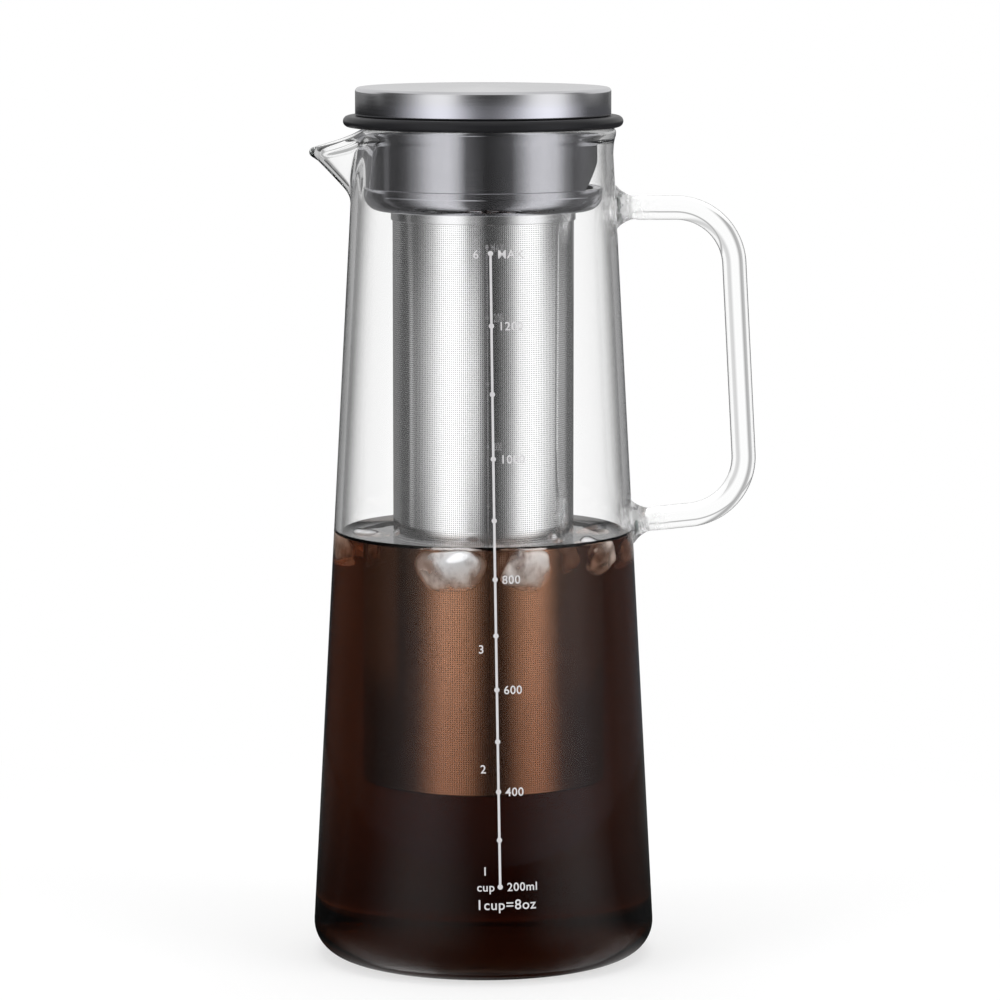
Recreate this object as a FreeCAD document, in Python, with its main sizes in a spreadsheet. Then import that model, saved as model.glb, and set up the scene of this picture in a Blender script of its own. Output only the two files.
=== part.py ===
import FreeCAD, Part
import math
import os
import Sketcher

# Cold brew coffee maker: a conical glass carafe with a pulled spout and a welded rod handle, a lid
# of drawn steel over a moulded core, a silicone rim seal, a pouring skirt and a hanging mesh filter.
# Millimetres and degrees. The origin is the centre of the flat foot, +Z is up, the handle is on +X
# and the spout on -X.

DIMENSIONS = (
    # glass carafe
    ("rim_height", 249.0, "top of the glass rim above the table"),
    ("base_radius", 51.75, "outer wall produced down to the table"),
    ("neck_radius", 38.25, "outer wall produced up to the rim height"),
    ("foot_corner", 9.6, "outer rounding between foot and wall"),
    ("glass_wall", 2.1, "wall thickness"),
    ("floor_thickness", 3.2, "glass under the coffee"),
    ("bead_radius", 1.5, "fire-polished rim bead"),
    ("bead_overhang", 1.15, "how far the bead stands out of the wall"),
    ("throat_flare", 1.0, "inner wall opens by this under the bead"),
    # pulled spout
    ("spout_reach", 51.7, "axis to the tip of the spout"),
    ("spout_drop", 20.0, "rim down to the root of the spout"),
    ("tip_drop", 7.5, "rim down to the middle of the lip at the tip"),
    ("spout_wall", 1.9, "glass along the spout"),
    ("spout_half_angle", 29.0, "half of the rim that the spout takes up"),
    ("root_half_angle", 11.0, "half angle of the spout at its root"),
    # rod handle
    ("rod_radius", 3.6, "glass rod"),
    ("handle_top", 225.0, "height of the upper run"),
    ("handle_root", 131.0, "height at which the lower run meets the wall"),
    ("grip_gap", 30.8, "wall to the inner side of the grip"),
    ("lower_rise", 6.0, "the lower run rises outwards by this angle"),
    ("handle_bend", 17.5, "bend radius on the rod's centre line"),
    ("weld_flare", 3.0, "concave flare where the rod is welded on"),
    # lid
    ("seal_radius", 41.65, "outside of the silicone rim seal"),
    ("seal_thickness", 3.3, "thickness of the rim seal"),
    ("cap_radius", 38.05, "outside of the steel cap"),
    ("cap_height", 8.6, "height of the steel cap"),
    ("cap_crown", 0.3, "rise of the cap's top towards its middle"),
    ("cap_edge", 1.2, "rounding of the cap's upper edge"),
    ("cap_sheet", 0.6, "sheet of the cap"),
    ("hem_width", 1.7, "lower edge of the cap turned inwards"),
    ("moulding_wall", 2.0, "walls of the moulded core"),
    ("ceiling_drop", 0.7, "core ceiling below the underside of the seal"),
    ("spigot_length", 2.6, "core spigot below the underside of the seal"),
    ("boss_radius", 6.0, "centre boss of the core"),
    ("rib_thickness", 1.6, "ribs of the core"),
    ("rib_count", 6, "ribs of the core"),
    # pouring skirt
    ("skirt_radius", 34.92, "outside of the pouring skirt"),
    ("skirt_sheet", 0.6, "sheet of the skirt"),
    ("window_half_top", 11.4, "half width of the pouring window at the top"),
    ("window_half_bottom", 18.8, "half width of the pouring window at the sill"),
    ("window_shoulder", 8.0, "sill up to where the window widens"),
    ("window_top", 15.0, "sill up to the head of the window"),
    ("window_corner", 2.5, "rounding at the head of the window"),
    ("gasket_section", 1.5, "thickness of the filter gasket"),
    # filter
    ("cup_rim", 17.7, "rim of the glass down to the rim of the filter cup"),
    ("cup_depth", 6.9, "outside depth of the filter cup"),
    ("cup_corner", 4.8, "outer rounding of the filter cup"),
    ("cup_sheet", 0.5, "sheet of the filter cup"),
    ("cup_neck", 2.8, "collar of the filter cup round the tube"),
    ("tube_radius", 27.0, "outside of the mesh tube"),
    ("tube_sheet", 0.4, "sheet of the mesh tube"),
    ("filter_floor", 52.6, "underside of the filter above the table"),
    ("base_sheet", 0.5, "sheet of the filter base"),
    ("base_upstand", 4.5, "edge of the filter base inside the tube"),
    # clearances
    ("seat_gap", 0.1, "between faces that lie on each other and part"),
    ("running_gap", 0.08, "around pieces that turn or slide in one another"),
)

doc = FreeCAD.newDocument("cold_brew_coffee_maker")
sheet = doc.addObject("Spreadsheet::Sheet", "Sizes")


class Size:
    """A length or a ratio: its number, and the sheet expression that gives it."""

    def __init__(self, value, text):
        self.value = value
        self.text = text

    def __add__(self, other):
        other = as_size(other)
        return Size(self.value + other.value, f"({self.text} + {other.text})")

    def __sub__(self, other):
        other = as_size(other)
        return Size(self.value - other.value, f"({self.text} - {other.text})")

    def __mul__(self, other):
        other = as_size(other)
        return Size(self.value * other.value, f"({self.text} * {other.text})")

    def __truediv__(self, other):
        other = as_size(other)
        return Size(self.value / other.value, f"({self.text} / {other.text})")

    def __neg__(self):
        return Size(-self.value, f"(0 - {self.text})")


def as_size(number):
    return number if isinstance(number, Size) else Size(float(number), repr(float(number)))


def root(size):
    return Size(math.sqrt(size.value), f"sqrt({size.text})")


def tangent(angle):
    return Size(math.tan(math.radians(angle.value)), f"tan({angle.text} * 1 deg)")


def fill_sheet():
    """Writes the driving dimensions and returns them as sizes, by name."""
    sizes = {}
    for row, (name, value, meaning) in enumerate(DIMENSIONS, start=1):
        sheet.set(f"A{row}", meaning)
        sheet.set(f"B{row}", str(value))
        sheet.setAlias(f"B{row}", name)
    doc.recompute()
    for name, _, _ in DIMENSIONS:
        sizes[name] = Size(float(sheet.get(name)), f"Sizes.{name}")
    return sizes


D = fill_sheet()

# ---------------------------------------------------------------- levels and radii worked out once

TAPER = (D["base_radius"] - D["neck_radius"]) / D["rim_height"]
SLANT = root(TAPER * TAPER + 1)
LIP_LEVEL = D["rim_height"] - D["bead_radius"]
SPOUT_ROOT = D["rim_height"] - D["spout_drop"]
SEAL_UNDERSIDE = D["rim_height"] + D["seat_gap"]
SEAL_TOP = SEAL_UNDERSIDE + D["seal_thickness"]
CAP_BOTTOM = SEAL_TOP + D["seat_gap"]
CAP_TOP = CAP_BOTTOM + D["cap_height"]
SKIRT_BORE = D["skirt_radius"] - D["skirt_sheet"]
CUP_BORE = D["skirt_radius"] + D["running_gap"]
CUP_RADIUS = CUP_BORE + D["cup_sheet"]
CUP_RIM = D["rim_height"] - D["cup_rim"]
CUP_UNDERSIDE = CUP_RIM - D["cup_depth"]
CUP_FLOOR = CUP_UNDERSIDE + D["cup_sheet"]
CUP_SHOULDER = CUP_UNDERSIDE + D["cup_corner"]
GASKET_RADIUS = D["gasket_section"] / 2
GASKET_RING = CUP_BORE - D["running_gap"] / 2 - GASKET_RADIUS
GASKET_LEVEL = CUP_SHOULDER + GASKET_RADIUS


def outer_wall(height):
    """Outside radius of the straight glass wall at a height."""
    return D["base_radius"] - TAPER * height


def inner_wall(height):
    """Inside radius of the straight glass wall at a height."""
    return outer_wall(height) - D["glass_wall"] * SLANT


# ---------------------------------------------------------------- sketching


class Outline:
    """One closed outline in a sketch, each corner placed by dimensions bound to the sheet."""

    def __init__(self, body, name, role):
        self.sketch = new_sketch(body, name, role)
        self.corners = []
        self.bends = []

    def corner(self, x, y):
        self.corners.append((as_size(x), as_size(y)))
        self.bends.append(None)
        return self

    def bend(self, x, y, radius, turn):
        """An arc from the last corner to this one; turn is 1 to the left, -1 to the right."""
        self.corners.append((as_size(x), as_size(y)))
        self.bends.append((as_size(radius), turn))
        return self

    def close(self):
        """Draws the outline and dimensions it. Returns the sketch."""
        points = [FreeCAD.Vector(x.value, y.value, 0) for x, y in self.corners]
        count = len(points)
        for i in range(count):
            after = (i + 1) % count
            self.sketch.addGeometry(self.edge(points[i], points[after], self.bends[after]), False)
        for i in range(count):
            self.join(i, (i + 1) % count)
        for i in range(count):
            self.place(i)
        for i in range(count):
            bend = self.bends[(i + 1) % count]
            if bend is not None:
                bind(self.sketch, Sketcher.Constraint("Radius", i, bend[0].value), bend[0])
        return self.sketch

    @staticmethod
    def edge(start, end, bend):
        if bend is None:
            return Part.LineSegment(start, end)
        radius, turn = bend[0].value, bend[1]
        chord = end - start
        half = chord.Length / 2
        rise = math.sqrt(max(radius * radius - half * half, 0.0))
        normal = FreeCAD.Vector(-chord.y, chord.x, 0).normalize() * turn
        centre = start + chord * 0.5 + normal * rise
        middle = centre - normal * radius
        return Part.Arc(start, middle, end)

    def ends(self, i):
        """Which end of edge i is its start and its end: an arc to the right is stored reversed."""
        bend = self.bends[(i + 1) % len(self.corners)]
        return (2, 1) if bend is not None and bend[1] < 0 else (1, 2)

    def join(self, i, after):
        last = self.ends(i)[1]
        first = self.ends(after)[0]
        self.sketch.addConstraint(Sketcher.Constraint("Coincident", i, last, after, first))

    def place(self, i):
        x, y = self.corners[i]
        first = self.ends(i)[0]
        bind(self.sketch, Sketcher.Constraint("DistanceX", -1, 1, i, first, x.value), x)
        bind(self.sketch, Sketcher.Constraint("DistanceY", -1, 1, i, first, y.value), y)


def bind(sketch, constraint, size):
    """Adds a dimension and ties it to the sheet."""
    number = sketch.addConstraint(constraint)
    sketch.setExpression(f"Constraints[{number}]", size.text)


def new_sketch(body, name, role):
    sketch = body.newObject("Sketcher::SketchObject", name)
    plane = [f for f in body.Origin.OriginFeatures if f.Role == role][0]
    sketch.AttachmentSupport = [(plane, "")]
    sketch.MapMode = "FlatFace"
    return sketch


def offset_sketch(sketch, x=None, y=None, z=None, angle=None):
    """Moves and turns a sketch within its plane's own axes."""
    sketch.AttachmentOffset = FreeCAD.Placement(
        FreeCAD.Vector(0, 0, 0), FreeCAD.Rotation(FreeCAD.Vector(0, 0, 1), 0)
    )
    for axis, size in (("x", x), ("y", y), ("z", z)):
        if size is not None:
            sketch.setExpression(f"AttachmentOffset.Base.{axis}", size.text)
    if angle is not None:
        sketch.setExpression("AttachmentOffset.Rotation.Angle", f"{angle.text} * 1 deg")


def new_body(name):
    body = doc.addObject("PartDesign::Body", name)
    body.Label = name
    return body


def revolve(body, sketch, name, kind="PartDesign::Revolution", axis="V_Axis"):
    """Turns an outline all the way round an axis of its sketch."""
    feature = body.newObject(kind, name)
    feature.Profile = sketch
    feature.ReferenceAxis = (sketch, [axis])
    feature.Angle = 360
    sketch.Visibility = False
    doc.recompute()
    return feature


def turned_piece(name, outline):
    """A body that is one outline revolved about the vertical axis."""
    sketch = outline.close()
    return revolve(outline.body, sketch, f"{name}_turned")


def turned_outline(name):
    """Starts the half section of a turned piece in its own body."""
    body = new_body(name)
    outline = Outline(body, f"{name}_section", "XZ_Plane")
    outline.body = body
    return outline


def boolean(kind, name, base, tool):
    feature = doc.addObject(kind, name)
    feature.Base = base
    feature.Tool = tool
    doc.recompute()
    return feature


# ---------------------------------------------------------------- glass carafe


def corner_run(radius):
    """Length of wall, and of floor, that a rounding between them takes up."""
    return radius * (SLANT + TAPER)


def glass_form():
    """Solid outer form of the carafe up to the middle of the rim bead."""
    run = corner_run(D["foot_corner"])
    outline = turned_outline("glass_form")
    outline.corner(0, 0)
    outline.corner(D["base_radius"] - run, 0)
    outline.bend(D["base_radius"] - run * TAPER / SLANT, run / SLANT, D["foot_corner"], 1)
    outline.corner(outer_wall(LIP_LEVEL), LIP_LEVEL)
    outline.corner(0, LIP_LEVEL)
    turned_piece("glass_form", outline)
    return outline.body


def cavity_form():
    """The hollow of the carafe, opening a little under the rim bead."""
    floor = D["floor_thickness"]
    radius = D["foot_corner"] - D["glass_wall"]
    run = corner_run(radius)
    flare_start = LIP_LEVEL - D["bead_radius"]
    opening = inner_wall(flare_start) + D["throat_flare"]
    outline = turned_outline("cavity_form")
    outline.corner(0, floor)
    outline.corner(inner_wall(floor) - run, floor)
    outline.bend(inner_wall(floor) - run * TAPER / SLANT, floor + run / SLANT, radius, 1)
    outline.corner(inner_wall(flare_start), flare_start)
    outline.corner(opening, LIP_LEVEL)
    outline.corner(opening, D["rim_height"])
    outline.corner(0, D["rim_height"])
    turned_piece("cavity_form", outline)
    return outline.body


SPOUT_LEVELS = 5  # sections of the spout from its root to above the rim
SPOUT_STEPS = 24  # steps across one section
LIP_STEPS = 12  # steps of the rim bead along the lip
SKIN = 0.25  # how far a section starts inside the wall, so that the flanks cross it cleanly
FLANK_WALL = 0.9  # glass in the spout's flanks, as a share of the glass along its middle
LIP_COVER = 0.75  # how far the bead stands over the spout's underside, as a share of its radius


def spout_slope():
    """Outward run of the spout's underside for each millimetre up."""
    root_radius = outer_wall(SPOUT_ROOT).value
    tip_level = D["rim_height"].value - D["tip_drop"].value
    tip = D["spout_reach"].value - D["bead_radius"].value * LIP_COVER
    return (tip - root_radius) / (tip_level - SPOUT_ROOT.value)


def spout_width(height):
    """Half angle of the spout at a height, growing from its root to the rim."""
    share = (height - SPOUT_ROOT.value) / D["spout_drop"].value
    narrow, wide = D["root_half_angle"].value, D["spout_half_angle"].value
    return narrow + (wide - narrow) * share


def spout_bump(angle, half_angle):
    """Cross-section of the spout seen from above: 1 on its middle line, 0 at its flanks."""
    return math.cos(math.radians(90.0 * angle / half_angle)) ** 4


def spout_section(name, height, inside):
    """One closed section of the spout, or of its channel, at a height."""
    slope = spout_slope()
    middle = outer_wall(SPOUT_ROOT).value + slope * (height - SPOUT_ROOT.value)
    half_angle = spout_width(height)
    wall = outer_wall(as_size(height)).value
    if inside:
        middle -= D["spout_wall"].value * math.sqrt(1 + slope * slope)
        wall = inner_wall(as_size(height)).value
        half_angle -= math.degrees(D["spout_wall"].value / wall) * FLANK_WALL
    start = wall - SKIN
    points = []
    for i in range(SPOUT_STEPS + 1):
        angle = half_angle * (2.0 * i / SPOUT_STEPS - 1.0)
        radius = start + max(middle - start, 0.0) * spout_bump(angle, half_angle)
        turn = math.radians(180.0 + angle)
        points.append(FreeCAD.Vector(radius * math.cos(turn), radius * math.sin(turn), height))
    curve = Part.BSplineCurve()
    curve.interpolate(points)
    section = doc.addObject("Part::Feature", name)
    section.Shape = Part.Wire([curve.toShape(), Part.makeLine(points[-1], points[0])])
    return section


def spout_loft(name, inside):
    """The spout's outer form, or its channel, lofted from its root to above the rim."""
    low = SPOUT_ROOT.value
    high = D["rim_height"].value + D["bead_radius"].value
    sections = []
    for i in range(SPOUT_LEVELS):
        height = low + (high - low) * i / (SPOUT_LEVELS - 1)
        sections.append(spout_section(f"{name}_section_{i}", height, inside))
    loft = doc.addObject("Part::Loft", name)
    loft.Sections = sections
    loft.Solid = True
    doc.recompute()
    return loft


def bead_ring():
    """Radius of the rim bead's centre line on the round part of the rim."""
    return outer_wall(LIP_LEVEL) + D["bead_overhang"] - D["bead_radius"]


def lip_point(angle):
    """A point of the bead's centre line, the angle counted from the spout's middle line.

    The lip runs out towards the tip with the same bump as the spout and dips with its root.
    """
    ring = bead_ring().value
    bump = spout_bump(angle, D["spout_half_angle"].value)
    reach = D["spout_reach"].value - D["bead_radius"].value - ring
    dip = D["tip_drop"].value - D["bead_radius"].value
    radius = ring + reach * bump
    turn = math.radians(180.0 + angle)
    level = LIP_LEVEL.value - dip * math.sqrt(bump)
    return FreeCAD.Vector(radius * math.cos(turn), radius * math.sin(turn), level)


def lip_points(first, last):
    """Points of the lip's centre line from one share of its half angle to another."""
    half = D["spout_half_angle"].value
    steps = [first + (last - first) * i / LIP_STEPS for i in range(LIP_STEPS + 1)]
    return [lip_point(half * step) for step in steps]


def lip_trim():
    """Everything above the dipping lip: its side view, extruded across the spout.

    The side view starts half way to the axis, well inside the wall, and ends outside the tip.
    """
    points = [FreeCAD.Vector(p.x, 0, p.z) for p in lip_points(-1.0, 0.0)]
    edge = Part.BSplineCurve()
    edge.interpolate(points)
    tip, start = points[-1], points[0]
    beyond = tip.x - D["spout_drop"].value
    above = D["rim_height"].value + D["spout_drop"].value
    within = start.x / 2
    corners = [
        tip,
        FreeCAD.Vector(beyond, 0, tip.z),
        FreeCAD.Vector(beyond, 0, above),
        FreeCAD.Vector(within, 0, above),
        FreeCAD.Vector(within, 0, start.z),
        start,
    ]
    outline = doc.addObject("Part::Feature", "lip_trim_outline")
    outline.Shape = Part.Face(Part.Wire([edge.toShape()] + Part.makePolygon(corners).Edges))
    trim = doc.addObject("Part::Extrusion", "lip_trim")
    trim.Base = outline
    trim.DirMode = "Custom"
    trim.Dir = FreeCAD.Vector(0, 1, 0)
    trim.Symmetric = True
    trim.Solid = True
    trim.setExpression("LengthFwd", (D["spout_reach"] * 2).text)
    doc.recompute()
    return trim


def rim_bead():
    """The level part of the bead, round the rim from one side of the spout to the other."""
    bead = doc.addObject("Part::Torus", "rim_bead")
    bead.setExpression("Radius1", bead_ring().text)
    bead.setExpression("Radius2", D["bead_radius"].text)
    bead.setExpression("Angle3", (as_size(360) - D["spout_half_angle"] * 2).text)
    bead.Placement.Rotation = FreeCAD.Rotation(FreeCAD.Vector(0, 0, 1), 0)
    bead.setExpression("Placement.Rotation.Angle", (D["spout_half_angle"] - 180).text)
    bead.setExpression("Placement.Base.z", LIP_LEVEL.text)
    return bead


def lip_bead():
    """The dipping part of the bead: round sections set square to the lip, lofted along it."""
    points = lip_points(-1.0, 1.0)
    sections = []
    for i, point in enumerate(points):
        if 0 < i < len(points) - 1:
            along = points[i + 1] - points[i - 1]
        else:
            along = FreeCAD.Vector(-point.y, point.x, 0)
        section = doc.addObject("Part::Feature", f"lip_bead_section_{i}")
        section.Shape = Part.Wire(Part.makeCircle(D["bead_radius"].value))
        up = FreeCAD.Vector(0, 0, 1)
        turn = FreeCAD.Rotation(up, along.cross(up), along, "ZXY")
        section.Placement = FreeCAD.Placement(point, turn)
        sections.append(section)
    bead = doc.addObject("Part::Loft", "lip_bead")
    bead.Sections = sections
    bead.Solid = True
    return bead


def carafe_body():
    """Blown glass: outer form and spout, hollowed, trimmed along the lip and beaded."""
    outside = boolean("Part::Fuse", "glass_outside", glass_form(), spout_loft("spout_form", False))
    inside = boolean("Part::Fuse", "glass_inside", cavity_form(), spout_loft("channel_form", True))
    hollow = boolean("Part::Cut", "glass_hollow", outside, inside)
    trimmed = boolean("Part::Cut", "glass_trimmed", hollow, lip_trim())
    bead = boolean("Part::Fuse", "bead", rim_bead(), lip_bead())
    beaded = boolean("Part::Fuse", "carafe_body", trimmed, bead)
    beaded.Label = "carafe_body"
    return beaded


# ---------------------------------------------------------------- rod handle


def weld_root(body, name, x, z, angle):
    """Concave flare between rod and wall, revolved about the rod's own line."""
    flare = D["weld_flare"]
    rod = D["rod_radius"]
    outline = Outline(body, f"{name}_section", "XZ_Plane")
    offset_sketch(outline.sketch, x=x, y=z, angle=angle)
    outline.corner(-flare, 0)
    outline.corner(flare, 0)
    outline.corner(flare, rod)
    outline.bend(0, rod + flare, flare, -1)
    outline.corner(-flare, rod + flare)
    sketch = outline.close()
    revolve(body, sketch, name, axis="H_Axis")


def handle():
    """Bent glass rod with a flared weld at each end, cut to the wall it is welded to."""
    body = new_body("handle")
    top, foot = D["handle_top"], D["handle_root"]
    upper_wall, lower_wall = outer_wall(top), outer_wall(foot)
    rise = tangent(D["lower_rise"])
    reach = D["grip_gap"] + D["rod_radius"]
    upper_x = upper_wall + reach
    lower_x = lower_wall + reach * (as_size(1) - TAPER * rise)
    lower_z = foot + (lower_x - lower_wall) * rise
    inset = D["glass_wall"] / 2

    path = new_sketch(body, "handle_path", "XZ_Plane")
    runs = (
        (upper_wall - inset, top),
        (upper_x, top),
        (lower_x, lower_z),
        (lower_wall - inset, foot - inset * rise),
    )
    bent_path(path, runs, D["handle_bend"])
    section = new_sketch(body, "handle_section", "YZ_Plane")
    section.setExpression("AttachmentOffset.Base.z", (upper_wall - inset).text)
    circle = Part.Circle(
        FreeCAD.Vector(0, top.value, 0), FreeCAD.Vector(0, 0, 1), D["rod_radius"].value
    )
    section.addGeometry(circle, False)
    section.addConstraint(Sketcher.Constraint("PointOnObject", 0, 3, -2))
    bind(section, Sketcher.Constraint("DistanceY", -1, 1, 0, 3, top.value), top)
    bind(section, Sketcher.Constraint("Radius", 0, D["rod_radius"].value), D["rod_radius"])
    doc.recompute()
    rod = body.newObject("PartDesign::AdditivePipe", "handle_rod")
    rod.Profile = section
    run_count = len(runs) - 1
    bend_count = run_count - 1
    rod.Spine = (path, [f"Edge{i + 1}" for i in range(run_count + bend_count)])
    doc.recompute()
    weld_root(body, "upper_weld", upper_wall, top, as_size(0))
    weld_root(body, "lower_weld", lower_wall, foot, D["lower_rise"])

    low, high = foot - D["spout_drop"], top + D["spout_drop"]
    wall = Outline(body, "wall_section", "XZ_Plane")
    wall.corner(0, low)
    wall.corner(outer_wall(low), low)
    wall.corner(outer_wall(high), high)
    wall.corner(0, high)
    revolve(body, wall.close(), "wall_cut", kind="PartDesign::Groove")
    return body


def bent_path(sketch, corners, bend):
    """Straight runs between corners, joined by tangent arcs of one radius."""
    points = [FreeCAD.Vector(x.value, z.value, 0) for x, z in corners]
    radius = bend.value
    starts, ends, arcs = [points[0]], [], []
    for before, corner, after in zip(points, points[1:], points[2:]):
        back = (before - corner).normalize()
        ahead = (after - corner).normalize()
        half = back.getAngle(ahead) / 2
        run = radius / math.tan(half)
        middle = (back + ahead).normalize()
        centre = corner + middle * (radius / math.sin(half))
        arcs.append(Part.Arc(corner + back * run, centre - middle * radius, corner + ahead * run))
        ends.append(corner + back * run)
        starts.append(corner + ahead * run)
    ends.append(points[-1])
    for i, (start, end) in enumerate(zip(starts, ends)):
        sketch.addGeometry(Part.LineSegment(start, end), False)
        if i < len(arcs):
            sketch.addGeometry(arcs[i], False)
    for line in (0, 2):
        arc = line + 1
        sketch.addConstraint(Sketcher.Constraint("Tangent", line, 2, arc, 2))
        sketch.addConstraint(Sketcher.Constraint("Tangent", arc, 1, line + 2, 1))
        bind(sketch, Sketcher.Constraint("Radius", arc, radius), bend)
    (start_x, start_z), (top_x, top_z), (low_x, low_z), (end_x, end_z) = corners
    sketch.addConstraint(Sketcher.Constraint("Horizontal", 0))
    for geometry, point, x, z in ((0, 1, start_x, start_z), (4, 2, end_x, end_z)):
        bind(sketch, Sketcher.Constraint("DistanceX", -1, 1, geometry, point, x.value), x)
        bind(sketch, Sketcher.Constraint("DistanceY", -1, 1, geometry, point, z.value), z)
    for line, x, z in ((2, top_x, top_z), (2, low_x, low_z), (4, low_x, low_z)):
        corner = sketch.addGeometry(Part.Point(FreeCAD.Vector(x.value, z.value, 0)), True)
        sketch.addConstraint(Sketcher.Constraint("PointOnObject", corner, 1, line))
        bind(sketch, Sketcher.Constraint("DistanceX", -1, 1, corner, 1, x.value), x)
        bind(sketch, Sketcher.Constraint("DistanceY", -1, 1, corner, 1, z.value), z)
    doc.recompute()


# ---------------------------------------------------------------- lid


def rim_seal():
    """Flat silicone ring with a full-round outer edge, lying on the rim bead."""
    bore = SKIRT_BORE + D["running_gap"]
    edge = D["seal_thickness"] / 2
    outline = turned_outline("rim_seal")
    outline.corner(bore, SEAL_UNDERSIDE)
    outline.corner(D["seal_radius"] - edge, SEAL_UNDERSIDE)
    outline.bend(D["seal_radius"], SEAL_UNDERSIDE + edge, edge, 1)
    outline.bend(D["seal_radius"] - edge, SEAL_TOP, edge, 1)
    outline.corner(bore, SEAL_TOP)
    turned_piece("rim_seal", outline)
    return outline.body


def cap_shell():
    """Deep-drawn cap: crowned top, rounded edge, straight side and a hem turned inwards."""
    sheet_metal = D["cap_sheet"]
    outside = D["cap_radius"]
    inside = outside - sheet_metal
    flat = outside - D["cap_edge"]
    shoulder = CAP_TOP - D["cap_crown"]
    crown = (flat * flat + D["cap_crown"] * D["cap_crown"]) / (D["cap_crown"] * 2)
    inner_edge = D["cap_edge"] - sheet_metal
    hem_edge = outside - D["hem_width"]
    outline = turned_outline("cap_shell")
    outline.corner(hem_edge, CAP_BOTTOM)
    outline.corner(outside - sheet_metal, CAP_BOTTOM)
    outline.bend(outside, CAP_BOTTOM + sheet_metal, sheet_metal, 1)
    outline.corner(outside, shoulder - D["cap_edge"])
    outline.bend(flat, shoulder, D["cap_edge"], 1)
    outline.bend(0, CAP_TOP, crown, 1)
    outline.corner(0, CAP_TOP - sheet_metal)
    outline.bend(flat, shoulder - sheet_metal, crown, -1)
    outline.bend(inside, shoulder - D["cap_edge"], inner_edge, -1)
    outline.corner(inside, CAP_BOTTOM + sheet_metal)
    outline.corner(hem_edge, CAP_BOTTOM + sheet_metal)
    turned_piece("cap_shell", outline)
    return outline.body


def lid_core():
    """Moulded core inside the cap: drum, ceiling, ribs, boss and the spigot for the skirt."""
    wall = D["moulding_wall"]
    drum = D["cap_radius"] - D["cap_sheet"]
    drum_foot = CAP_BOTTOM + D["cap_sheet"]
    drum_top = CAP_TOP - D["cap_crown"] - D["cap_sheet"] - D["seat_gap"]
    chamfer = D["cap_edge"]
    hem_edge = D["cap_radius"] - D["hem_width"]
    spigot = SKIRT_BORE
    spigot_foot = SEAL_UNDERSIDE - D["spigot_length"]
    ceiling = SEAL_UNDERSIDE - D["ceiling_drop"]
    shelf = drum_foot + wall
    outline = turned_outline("lid_core")
    outline.corner(0, ceiling)
    outline.corner(spigot - wall, ceiling)
    outline.corner(spigot - wall, spigot_foot)
    outline.corner(spigot, spigot_foot)
    outline.corner(spigot, CAP_BOTTOM)
    outline.corner(hem_edge, CAP_BOTTOM)
    outline.corner(hem_edge, drum_foot)
    outline.corner(drum, drum_foot)
    outline.corner(drum, drum_top - chamfer)
    outline.corner(drum - chamfer, drum_top)
    outline.corner(drum - wall, drum_top)
    outline.corner(drum - wall, shelf)
    outline.corner(spigot - wall, shelf)
    outline.corner(spigot - wall, ceiling + wall)
    outline.corner(D["boss_radius"], ceiling + wall)
    outline.corner(D["boss_radius"], drum_top)
    outline.corner(0, drum_top)
    turned_piece("lid_core", outline)
    body = outline.body

    root_depth = wall / 2
    rib_top = drum_top - wall
    rib = Outline(body, "rib_section", "XZ_Plane")
    rib.corner(D["boss_radius"] - root_depth, ceiling + root_depth)
    rib.corner(spigot - root_depth, ceiling + root_depth)
    rib.corner(spigot - root_depth, shelf - root_depth)
    rib.corner(drum - root_depth, shelf - root_depth)
    rib.corner(drum - root_depth, rib_top)
    rib.corner(D["boss_radius"] - root_depth, rib_top)
    sketch = rib.close()
    pad = body.newObject("PartDesign::Pad", "rib")
    pad.Profile = sketch
    pad.SideType = "Symmetric"
    pad.setExpression("Length", D["rib_thickness"].text)
    sketch.Visibility = False
    doc.recompute()
    pattern = body.newObject("PartDesign::PolarPattern", "ribs")
    pattern.Originals = [pad]
    pattern.Axis = (sketch, ["V_Axis"])
    pattern.Angle = 360
    pattern.setExpression("Occurrences", D["rib_count"].text)
    body.Tip = pattern
    doc.recompute()
    return body


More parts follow.
